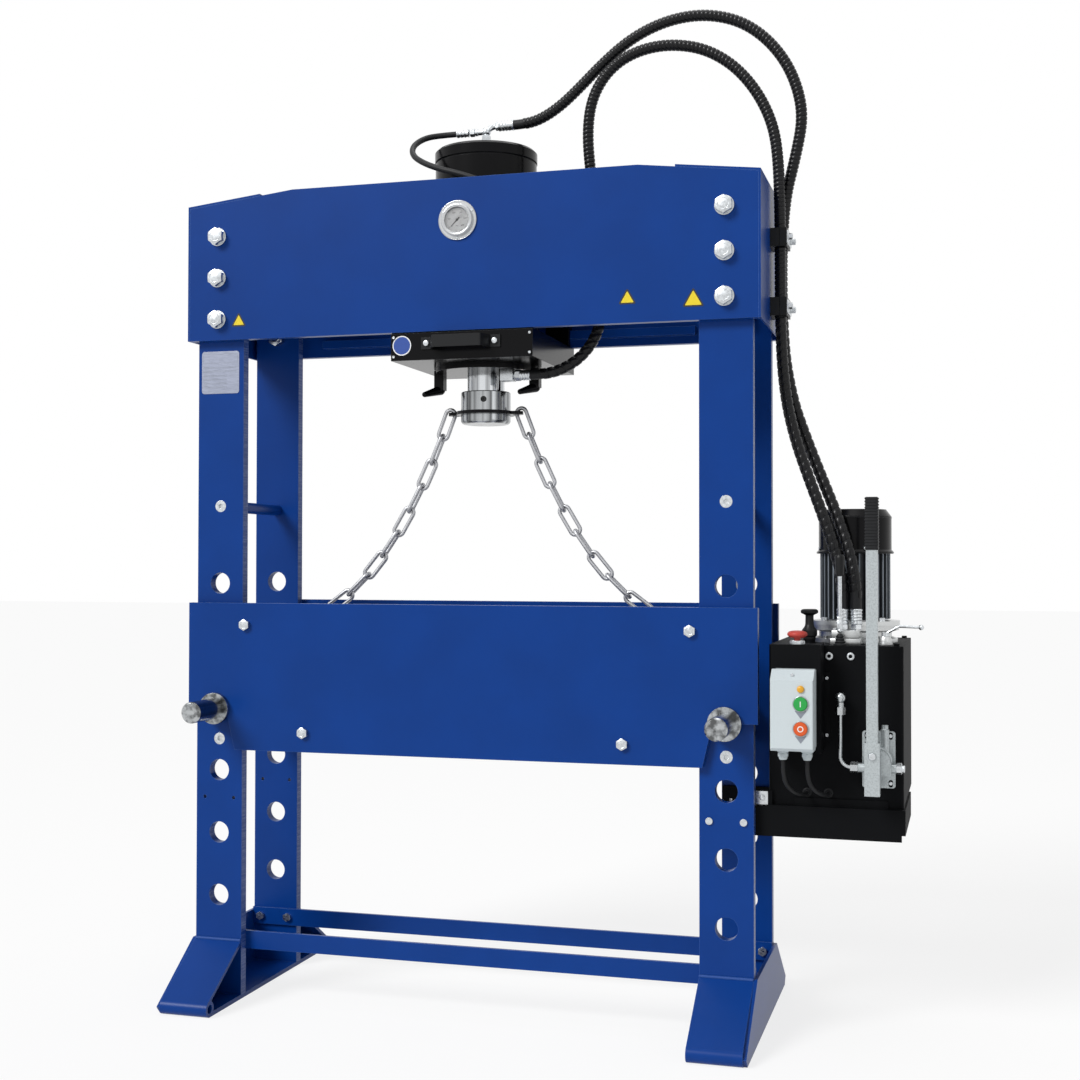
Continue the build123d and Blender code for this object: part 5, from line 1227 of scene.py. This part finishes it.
class PRESS_OT_couplings(bpy.types.Operator):
    """Hose couplings on the cylinder: tee and elbows on its cap, block and nut at its lower port"""
    bl_idname = "press.couplings"
    bl_label = "Hose couplings"

    def execute(self, context):
        middle, tee_z, hose_y, hose_z = 5, 2091, 8, 2105
        shape = bmesh.new()
        nut(shape, at(middle, 0, 2039), 24, 0, 10)
        turned(shape, at(middle, 0, 2049), ((9, 0), (9, 22), (7.4, 24), (7.4, 34)), steps=32)
        nut(shape, at(middle, 0, 2068), 19, 0, 13)
        bmesh.ops.create_uvsphere(shape, u_segments=24, v_segments=14, radius=11 * MM,
                                  matrix=at(middle, 0, tee_z))
        place = at(middle - 4, 0, tee_z, LEFT)
        turned(shape, place, ((7, 0), (7, 16), (8.6, 17), (8.6, 22), (6, 23), (6, 36)), steps=28)
        nut(shape, place, 17, 24, 36)
        crimped_ferrule(shape, at(middle - 43, 0, tee_z, LEFT), 9.6, 32, 3)
        elbow = smooth_path([Vector(p) * MM for p in (
            (middle, 0, tee_z), (middle + 10, 5, hose_z - 3), (middle + 20, hose_y, hose_z),
            (middle + 34, hose_y, hose_z))])
        tube(shape, elbow, 7 * MM)
        nut(shape, at(middle + 22, hose_y, hose_z, RIGHT), 19, 0, 9)
        crimped_ferrule(shape, at(middle + 30, hose_y, hose_z, RIGHT), 13, 38, 4)

        port_y, port_z, port_face = -55, 1490, 94
        block(shape, (62, port_y - 15, port_z - 14), (port_face, port_y + 15, port_z + 14), soften=1.6)
        turned(shape, at(port_face - 2, port_y, port_z, RIGHT), ((9, 0), (9, 8)), steps=24)
        nut(shape, at(port_face, port_y, port_z, RIGHT), 24, 3, 16)
        crimped_ferrule(shape, at(port_face + 14, port_y, port_z, RIGHT), 13, 26, 3)
        finished("hose_coupling_set", shape, "zinc", "carriage", ("hose_fittings",))
        return {"FINISHED"}


class PRESS_OT_clamps(bpy.types.Operator):
    """Two clamps on the end of the beam that hold both hoses, each in two halves"""
    bl_idname = "press.clamps"
    bl_label = "Hose clamps"

    def execute(self, context):
        wall, split, outer, half_gap, half_wide, bore, spread, high = 695, 716, 733, 0.4, 35, 13.9, 14.5, 42
        cover_thick, screw_out = 3, 30
        shape = bmesh.new()
        screws = bmesh.new()
        for row in (1630, 1788):
            for start, end, towards in ((wall, split - half_gap, -1), (outer, split + half_gap, 1)):
                outline = [(start, -half_wide), (start, half_wide), (end, half_wide)]
                for middle in (spread, -spread):
                    outline += [(end + towards * bore * math.sin(a), middle + bore * math.cos(a))
                                for a in (math.pi * i / 12 for i in range(13))]
                outline += [(end, -half_wide)]
                slab(shape, at(0, 0, row - high / 2), outline, high)
            slab(screws, at(outer, 0, row, RIGHT), rounded_box(66, 30, 3), cover_thick, soften=0.5)
            for y in (-screw_out, screw_out):
                bolt(screws, at(outer + cover_thick, y, row, RIGHT), 13, 8.5, washer=16, washer_thick=1.6)
        finished("hose_clamp_bodies", shape, "plastic", "frame", ("hose_clamps",))
        finished("hose_clamp_screws", screws, "zinc", "frame")
        return {"FINISHED"}


class PRESS_OT_valve(bpy.types.Operator):
    """The control valve: castings on the lid, ribbed boot, hose ends, and the lever with its grip"""
    bl_idname = "press.valve"
    bl_label = "Control valve"

    def execute(self, context):
        lever_x, lever_y, pivot, top = 856, -110, 899.3, 1066
        shape = bmesh.new()
        block(shape, (833, -94, LID_TOP), (899, -42, LID_TOP + 14), soften=1.6)
        block(shape, (836, -91, LID_TOP + 14.6), (896, -45, LID_TOP + 32), soften=1.6)
        for x, y in ((841, -86), (891, -86), (841, -50), (891, -50)):
            cap_screw(shape, at(x, y, LID_TOP + 31.5), 7, 4, 4)
        turned(shape, at(950, -60, LID_TOP), ((16, 0), (16, 4), (14, 5), (14, 13), (12, 18), (4, 18)))
        nut(shape, at(920, -72, LID_TOP), 17, 0, 12)
        turned(shape, at(920, -72, LID_TOP + 12), ((6, 0), (6, 7), (4, 8)))
        finished("valve_castings", shape, "aluminium", "frame", ("valve_block",))
        shape = bmesh.new()
        for x, y in ((857, -50), (887, -50)):
            nut(shape, at(x, y, LID_TOP + 32), 22, 0, 12)
            crimped_ferrule(shape, at(x, y, LID_TOP + 44), 13.5, 34, 4)
        finished("valve_hose_ends", shape, "zinc", "frame")
        shape = bmesh.new()
        turned(shape, at(lever_x, lever_y, LID_TOP), (
            (13, 0), (13, 2.5), (10.5, 5), (12, 7.5), (9, 11), (10.5, 13.5), (7.5, 17), (9, 19.5),
            (6.2, 23), (5, 26)))
        finished("valve_boot", shape, "rubber", "frame")

        shape = bmesh.new()
        bmesh.ops.create_uvsphere(shape, u_segments=24, v_segments=12, radius=6 * MM,
                                  matrix=at(lever_x, lever_y, pivot))
        for cheek in (lever_y - 4.2, lever_y + 4.2):
            block(shape, (lever_x - 6, cheek - 1.4, pivot + 2), (lever_x + 6, cheek + 1.4, pivot + 22),
                  soften=0.6)
        block(shape, (lever_x - 5.5, lever_y - 5, pivot + 20), (lever_x + 5.5, lever_y + 5, pivot + 30))
        turned(shape, at(lever_x, lever_y - 7, pivot + 14, REAR), ((3.6, 0), (3.6, 2), (2, 2.2), (2, 14)),
               steps=20)
        turned(shape, at(lever_x, lever_y, pivot + 28), ((4.5, 0), (4.5, top - pivot - 40)), steps=24)
        finished("valve_lever_rod", shape, "zinc", "valve_lever", ("valve_lever",))
        shape = bmesh.new()
        turned(shape, at(lever_x, lever_y, top), (
            (5.5, -48), (8.6, -46), (9, -42), (11, -9), (10.6, -4), (8, -0.8), (3, 0)), steps=40)
        finished("valve_lever_grip", shape, "plastic", "valve_lever")
        return {"FINISHED"}


class PRESS_OT_controls(bpy.types.Operator):
    """Starter marks, lamp and screws, the stop button's fluted collar, and the rims of the buttons"""
    bl_idname = "press.controls"
    bl_label = "Controls"

    def execute(self, context):
        cover_face, button_x, start_z, stop_z, button_face, mark_thick = -280, 789, 752, 700, -286, 0.25
        shape = bmesh.new()
        for z in (start_z, stop_z):
            ring_body(shape, at(button_x, cover_face, z, FRONT), (
                (14.9, 0.1), (14.9, 2.6), (16.4, 2.6), (17.2, 1.6), (17.2, 0.1)))
        finished("button_rims", shape, "hammer", "frame")
        shape = bmesh.new()
        block(shape, (button_x - 0.9, button_face - mark_thick, start_z - 6),
              (button_x + 0.9, button_face, start_z + 6), soften=0.1, segments=1)
        finished("start_mark", shape, "white", "start_button")
        shape = bmesh.new()
        ring_body(shape, at(button_x, button_face, stop_z, FRONT), (
            (4.4, 0), (4.4, mark_thick), (6.4, mark_thick), (6.4, 0)))
        finished("stop_mark", shape, "white", "stop_button")
        # Painted shadow: a grey triangle on the box under each button
        shape = bmesh.new()
        for z in (start_z - 18, stop_z - 18):
            outline = round_corners([(-13, 4), (13, 4), (0, -13)], 1.2)
            slab(shape, at(button_x, cover_face, z, FRONT), outline, 0.3)
        finished("button_shadows", shape, "grey_ink_and_painted_shade", "frame")

        shape = bmesh.new()
        turned(shape, at(button_x, cover_face, 783, FRONT), ((7.5, 0), (7.5, 3), (6, 4.6), (2, 5.6)),
               steps=32)
        finished("power_lamp", shape, "amber", "frame")
        shape = bmesh.new()
        turned(shape, at(770, -266, 811, FRONT), ((3.6, 0), (3.6, 3), (2.8, 4)), steps=24)
        for z in (796, 672):
            cap_screw(shape, at(829, TANK_FACE, z, FRONT), 7.5, 4, 3.6)
        finished("control_screws", shape, "zinc", "frame")
        shape = bmesh.new()
        block(shape, (812, TANK_FACE - 2.5, 660), (836, TANK_FACE - 0.1, 810), soften=0.8)
        finished("panel_flange", shape, "powder", "frame")

        stop_x, stop_y, panel_top, head_low = 772, -186, 872, 886
        rib = bmesh.new()
        block(rib, (14.6, -0.8, 0.8), (16.2, 0.8, 7.4), soften=0.3, segments=1)
        mesh = round_row("collar_rib", rib, "zinc", 36)
        mesh.transform(at(stop_x, stop_y, panel_top))
        place_piece("stop_collar_ribs", mesh, "zinc", "frame")
        shape = bmesh.new()
        turned(shape, at(stop_x, stop_y, head_low), (
            (7, panel_top - 12 - head_low), (7, 0), (14, 0), (20.8, 4.6), (21.5, 6.4), (21.5, 8.6),
            (20.4, 11), (17.5, 13.4), (12, 15), (4, 15.8)), steps=64)
        finished("stop_head", shape, "red", "estop_button", ("estop_button",), sharp=50)
        return {"FINISHED"}


class PRESS_OT_filler(bpy.types.Operator):
    """The filler cap with its knurled rim, and the rims of the plugs on the tank's front"""
    bl_idname = "press.filler"
    bl_label = "Filler cap and tank plugs"

    def execute(self, context):
        x, y, top, knurls = 785, -60, 944, 30
        shape = bmesh.new()
        turned(shape, at(x, y, top), (
            (14, -67), (14, -61), (17, -59), (17, -47), (11, -39), (9.4, -33), (9, -14), (12, -12),
            (17.6, -9.6), (18.6, -8), (18.6, -3), (17, -1.2), (14, 0)), steps=60)
        body = mesh_of(shape, "cap_body")
        rib = bmesh.new()
        turned(rib, at(18.3, 0, top - 8.4), ((1.0, 0), (1.0, 5.6)), steps=8)
        mesh = round_row("cap_rib", rib, "plastic", knurls)
        mesh.transform(at(x, y, 0))
        place_piece("filler_cap_top", joined("filler_cap_top", [body, mesh]), "plastic", "filler_cap",
                    ("filler_cap",))
        shape = bmesh.new()
        for plug_x in (834, 880):
            turned(shape, at(plug_x, TANK_FACE, 844, FRONT), (
                (8.4, 0), (8.4, 2.6), (7.2, 3.6), (4.2, 3.6), (3.8, 2.2)), steps=32)
        finished("tank_plug_rims", shape, "zinc", "frame")
        return {"FINISHED"}


class PRESS_OT_pump(bpy.types.Operator):
    """Hand pump details: flange screws, piston head and nuts, and the rubber grip with its ribs"""
    bl_idname = "press.pump"
    bl_label = "Hand pump"

    def execute(self, context):
        plate_face, middle_x, middle_z, pipe_y, pipe_z = -136, 940, 624, -163, 609
        shape = bmesh.new()
        for x in (-25, 25):
            for z in (-51, 51):
                cap_screw(shape, at(middle_x + x, plate_face + 8, middle_z + z, FRONT), 8, 9, 5)
        nut(shape, at(middle_x + 38, pipe_y, pipe_z, RIGHT), 22, 0, 12)
        turned(shape, at(middle_x + 50, pipe_y, pipe_z, RIGHT), ((8, 0), (8, 5), (6.5, 6)), steps=32)
        turned(shape, at(931, -219, 640, FRONT), ((7.8, 0), (7.8, 5), (6.5, 6.5)), steps=32)
        finished("pump_screws", shape, "zinc", "frame")
        shape = bmesh.new()
        ring_body(shape, at(middle_x, plate_face, middle_z, FRONT), bead(25, 22, 5, 5, 16))
        turned(shape, at(middle_x + 14, plate_face - 14, middle_z + 8), ((9, 0), (9, 58), (7, 60), (7, 68)),
               steps=32)
        finished("pump_castings", shape, "hammer", "frame")

        lever_x, lever_y, low, high, wide, ribs = 931, -204.5, 1075, 1188, 29, 17
        shape = bmesh.new()
        slab(shape, at(lever_x, lever_y, low), rounded_box(wide - 2.4, wide - 2.4, 3.4), high - low - 1, 1.5)
        core = mesh_of(shape, "grip_core")
        rib = bmesh.new()
        outer = rounded_box(wide, wide, 4)
        inner = rounded_box(wide - 2.2, wide - 2.2, 3.4)
        skin(rib, levels_of(rib, UP, ((inner, 0), (outer, 0.7), (outer, 3.2), (inner, 3.9))))
        step = (high - low - 8) / (ribs - 1)
        ribbed = straight_row("grip_rib", rib, "rubber", ribs, Vector((lever_x, lever_y, low + 2)) * MM,
                              (0, 0, step * MM))
        place_piece("pump_grip", joined("pump_grip", [core, ribbed]), "rubber", "pump_lever",
                    ("hand_pump_grip",))
        return {"FINISHED"}


class PRESS_OT_tray(bpy.types.Operator):
    """The bare zinc bracket that ties the tray to the upright"""
    bl_idname = "press.tray"
    bl_label = "Tray bracket"

    def execute(self, context):
        left, right, front, low, thick = 676, 702, -138, 514.4, 3
        shape = bmesh.new()
        block(shape, (left, front, low), (right, front + 4, low + 31.6), soften=0.6)
        block(shape, (left, front, low), (right, front + 26, low + thick), soften=0.6)
        bolt(shape, at(690, front, 532, FRONT), 10, 5, washer=13, washer_thick=1.2)
        finished("tray_bracket", shape, "zinc", "frame")
        return {"FINISHED"}


class PRESS_OT_cables(bpy.types.Operator):
    """The starter's two glands with their clamping nuts, the grommets in the tank, and both cables"""
    bl_idname = "press.cables"
    bl_label = "Cables and glands"

    def execute(self, context):
        cable = 9 * MM
        shape = bmesh.new()
        for x in (746, 797):
            place = at(x, -226, 651.6, DOWN)
            nut(shape, place, 24, 0, 7)
            turned(shape, place, ((10.5, 7), (10.5, 9)), steps=32)
            nut(shape, place, 21, 9, 17)
            turned(shape, place, ((9.6, 17), (9.2, 20), (7.4, 23.4), (5, 23.6)), steps=32)
        finished("gland_nuts", shape, "box", "frame", ("cable_glands",))
        shape = bmesh.new()
        for x in (786, 832):
            turned(shape, at(x, TANK_FACE, 546, FRONT), (
                (10, 0), (10, 2), (7.6, 3), (7.6, 5.5), (6, 8), (4.7, 8)), steps=32)
        finished("grommets", shape, "rubber", "frame")
        lay_cord("supply_cable", supply_cable_route, cable / 2, "rubber")
        lay_cord("motor_cable", motor_cable_route, cable / 2, "rubber")
        return {"FINISHED"}


class PRESS_OT_motor(bpy.types.Operator):
    """Screws on the motor's flange and cowl, and the beads rolled into the cowl"""
    bl_idname = "press.motor"
    bl_label = "Motor details"

    def execute(self, context):
        motor = at(MOTOR_X, MOTOR_Y, 0)
        shape = bmesh.new()
        ring_body(shape, motor, bead(84.6, 1070.6, 2.6, 2.6, 12), steps=96)
        ring_body(shape, motor, bead(81.8, 1150, 1.3, 1.3, 10), steps=96)
        finished("cowl_beads", shape, "black", "frame", sharp=50)
        flange_bolt = at(90, 0, 916)
        screw = bmesh.new()
        hexagonal(screw, flange_bolt, 13, 0, 8)
        turned(screw, flange_bolt, ((7.5, 0), (7.5, 1.4)), steps=24)
        flange = round_row("flange_bolt", screw, "zinc", 4, math.pi / 4)
        screw = bmesh.new()
        cap_screw(screw, at(81.6, 0, 1080, RIGHT), 7, 3.2, 3)
        cowl = round_row("cowl_screw", screw, "zinc", 4, math.radians(-70))
        mesh = joined("motor_screws", [flange, cowl])
        mesh.transform(motor)
        place_piece("motor_screws", mesh, "zinc", "frame")
        return {"FINISHED"}


class PRESS_OT_carriage(bpy.types.Operator):
    """Screws of the carriage's handle and cover, and the dark set screw in the rod's collar"""
    bl_idname = "press.carriage"
    bl_label = "Carriage and collar screws"

    def execute(self, context):
        shape = bmesh.new()
        for x in (-78, 88):
            turned(shape, at(x, -190.9, 1554, FRONT), ((7.5, 0), (7.5, 2.5), (6.4, 4.6), (3, 5.2)), steps=32)
        for x in (-160, 170):
            for z in (1525, 1570):
                cap_screw(shape, at(x, COVER_FACE, z, FRONT), 6.5, 3, 3)
        finished("handle_screws", shape, "zinc", "carriage")
        shape = bmesh.new()
        turned(shape, at(18, -50, 1436, FRONT), ((6.8, 0), (6.8, 5.5), (5.8, 6.5), (3.4, 6.5), (3.2, 3)),
               steps=32)
        finished("collar_set_screw", shape, "ink", "ram")
        return {"FINISHED"}


# Stage
def seen_rays(tree):
    """One for what the camera sees, straight or in metal and glass, and none for the light on the press."""
    path = add(tree, "ShaderNodeLightPath")
    seen = add(tree, "ShaderNodeMath", {0: path.outputs["Is Camera Ray"], 1: path.outputs["Is Glossy Ray"]},
               operation="ADD")
    return add(tree, "ShaderNodeMath", {0: seen.outputs[0], 1: path.outputs["Is Transmission Ray"]},
               operation="ADD", use_clamp=True).outputs[0]


def place_lamp(name, lamp, direction, where=(0, 0, 0)):
    """Puts a lamp in the scene, shining in a direction."""
    holder = bpy.data.objects.new(name, lamp)
    holder.location = where
    holder.rotation_euler = Vector(direction).to_track_quat("-Z", "Y").to_euler()
    bpy.context.scene.collection.objects.link(holder)


def area_lamp(name, where, towards, size, watts):
    """A soft rectangular lamp that faces a point."""
    lamp = bpy.data.lights.new(name, "AREA")
    lamp.shape = "RECTANGLE"
    lamp.size, lamp.size_y = size
    lamp.energy = watts
    place_lamp(name, lamp, Vector(towards) - Vector(where), where)


def photo_camera():
    """The camera that took the photograph, as solved from the frame's edges."""
    photo_side, focal_pixels, middle_y, sensor = 1080, 1518.9, 532.5, 36
    azimuth, pitch, roll = math.radians(15.98), math.radians(1.05), math.radians(0.07)
    forward = Vector((-math.sin(azimuth) * math.cos(pitch), math.cos(azimuth) * math.cos(pitch),
                      math.sin(pitch)))
    level = Vector((math.cos(azimuth), math.sin(azimuth), 0))
    above = level.cross(forward)
    right = level * math.cos(roll) + above * math.sin(roll)
    above = above * math.cos(roll) - level * math.sin(roll)
    lens = bpy.data.cameras.new("photo_camera")
    lens.sensor_width = sensor
    lens.lens = sensor * focal_pixels / photo_side
    lens.shift_y = (middle_y - photo_side / 2) / photo_side
    camera = bpy.data.objects.new("photo_camera", lens)
    turn = Matrix((right, above, -forward)).transposed().to_4x4()
    camera.matrix_world = Matrix.Translation((1.1408, -3.4894, 1.052)) @ turn
    bpy.context.scene.collection.objects.link(camera)
    return camera


class PRESS_OT_stage(bpy.types.Operator):
    """A pale floor that keeps the press's shadow, a white room, soft studio lamps, and the camera"""
    bl_idname = "press.stage"
    bl_label = "Stage"

    def execute(self, context):
        sizes = context.scene.press_stage
        scene = context.scene
        scene.view_settings.view_transform = "Standard"

        floor_half, floor_glow, white = 30, 0.8, (1, 1, 1, 1)
        shape = bmesh.new()
        bmesh.ops.create_grid(shape, x_segments=1, y_segments=1, size=floor_half)
        mesh = bpy.data.meshes.new("floor")
        shape.to_mesh(mesh)
        shape.free()
        floor = bpy.data.objects.new("floor", mesh)
        scene.collection.objects.link(floor)
        material = bpy.data.materials.new("studio_floor")
        tree = empty_tree(material)
        lit = add(tree, "ShaderNodeBsdfDiffuse", {"Color": (0.95, 0.95, 0.95, 1)})
        glow = add(tree, "ShaderNodeEmission", {"Color": white, "Strength": 1.0})
        share = add(tree, "ShaderNodeMath", {0: seen_rays(tree), 1: floor_glow}, operation="MULTIPLY")
        mix = add(tree, "ShaderNodeMixShader", {0: share.outputs[0], 1: lit.outputs[0], 2: glow.outputs[0]})
        add(tree, "ShaderNodeOutputMaterial", {"Surface": mix.outputs[0]})
        mesh.materials.append(material)

        scene.world = bpy.data.worlds.new("studio")
        tree = empty_tree(scene.world)
        strength = add(tree, "ShaderNodeMapRange", {
            "Value": seen_rays(tree), "To Min": sizes.room, "To Max": 1.0})
        back = add(tree, "ShaderNodeBackground", {"Color": white, "Strength": strength.outputs[0]})
        add(tree, "ShaderNodeOutputWorld", {"Surface": back.outputs[0]})

        key = bpy.data.lights.new("key_lamp", "SUN")
        key.energy = sizes.key_strength
        key.angle = math.radians(24)
        place_lamp("key_lamp", key, (1.0, 1.4, -1.3))
        area_lamp("fill_lamp", (3.6, -2.6, 1.6), (0.3, 0, 1.0), (1.4, 2.2), sizes.fill_strength)
        area_lamp("top_lamp", (0.3, 0.3, 4.4), (0, 0, 1.0), (3.0, 2.0), sizes.top_strength)
        scene.camera = photo_camera()
        return {"FINISHED"}


operators = (PRESS_OT_paint, PRESS_OT_marks, PRESS_OT_welds, PRESS_OT_bolts, PRESS_OT_gauge,
             PRESS_OT_chains, PRESS_OT_hoses, PRESS_OT_couplings, PRESS_OT_clamps, PRESS_OT_valve,
             PRESS_OT_controls, PRESS_OT_filler, PRESS_OT_pump, PRESS_OT_tray, PRESS_OT_cables,
             PRESS_OT_motor, PRESS_OT_carriage, PRESS_OT_stage)
settings = {"press_paint": PressPaint, "press_fasteners": PressFasteners, "press_chain": PressChain,
            "press_hoses": PressHoses, "press_stage": PressStage}


class PRESS_PT_panel(bpy.types.Panel):
    """The press's steps, in the order in which they run"""
    bl_label = "Workshop press"
    bl_idname = "PRESS_PT_panel"
    bl_space_type = "VIEW_3D"
    bl_region_type = "UI"
    bl_category = "Press"

    def draw(self, context):
        for operator in operators:
            self.layout.operator(operator.bl_idname)
        for name, group in settings.items():
            box = self.layout.box()
            for setting in group.__annotations__:
                box.prop(getattr(context.scene, name), setting)


def register():
    for group in settings.values():
        bpy.utils.register_class(group)
    for name, group in settings.items():
        setattr(bpy.types.Scene, name, PointerProperty(type=group))
    for kind in (*operators, PRESS_PT_panel):
        bpy.utils.register_class(kind)


def unregister():
    for kind in reversed((*operators, PRESS_PT_panel)):
        bpy.utils.unregister_class(kind)
    for name, group in settings.items():
        delattr(bpy.types.Scene, name)
        bpy.utils.unregister_class(group)


def main():
    register()
    for operator in operators:
        group, name = operator.bl_idname.split(".")
        getattr(getattr(bpy.ops, group), name)()


if __name__ == "__main__":
    main()
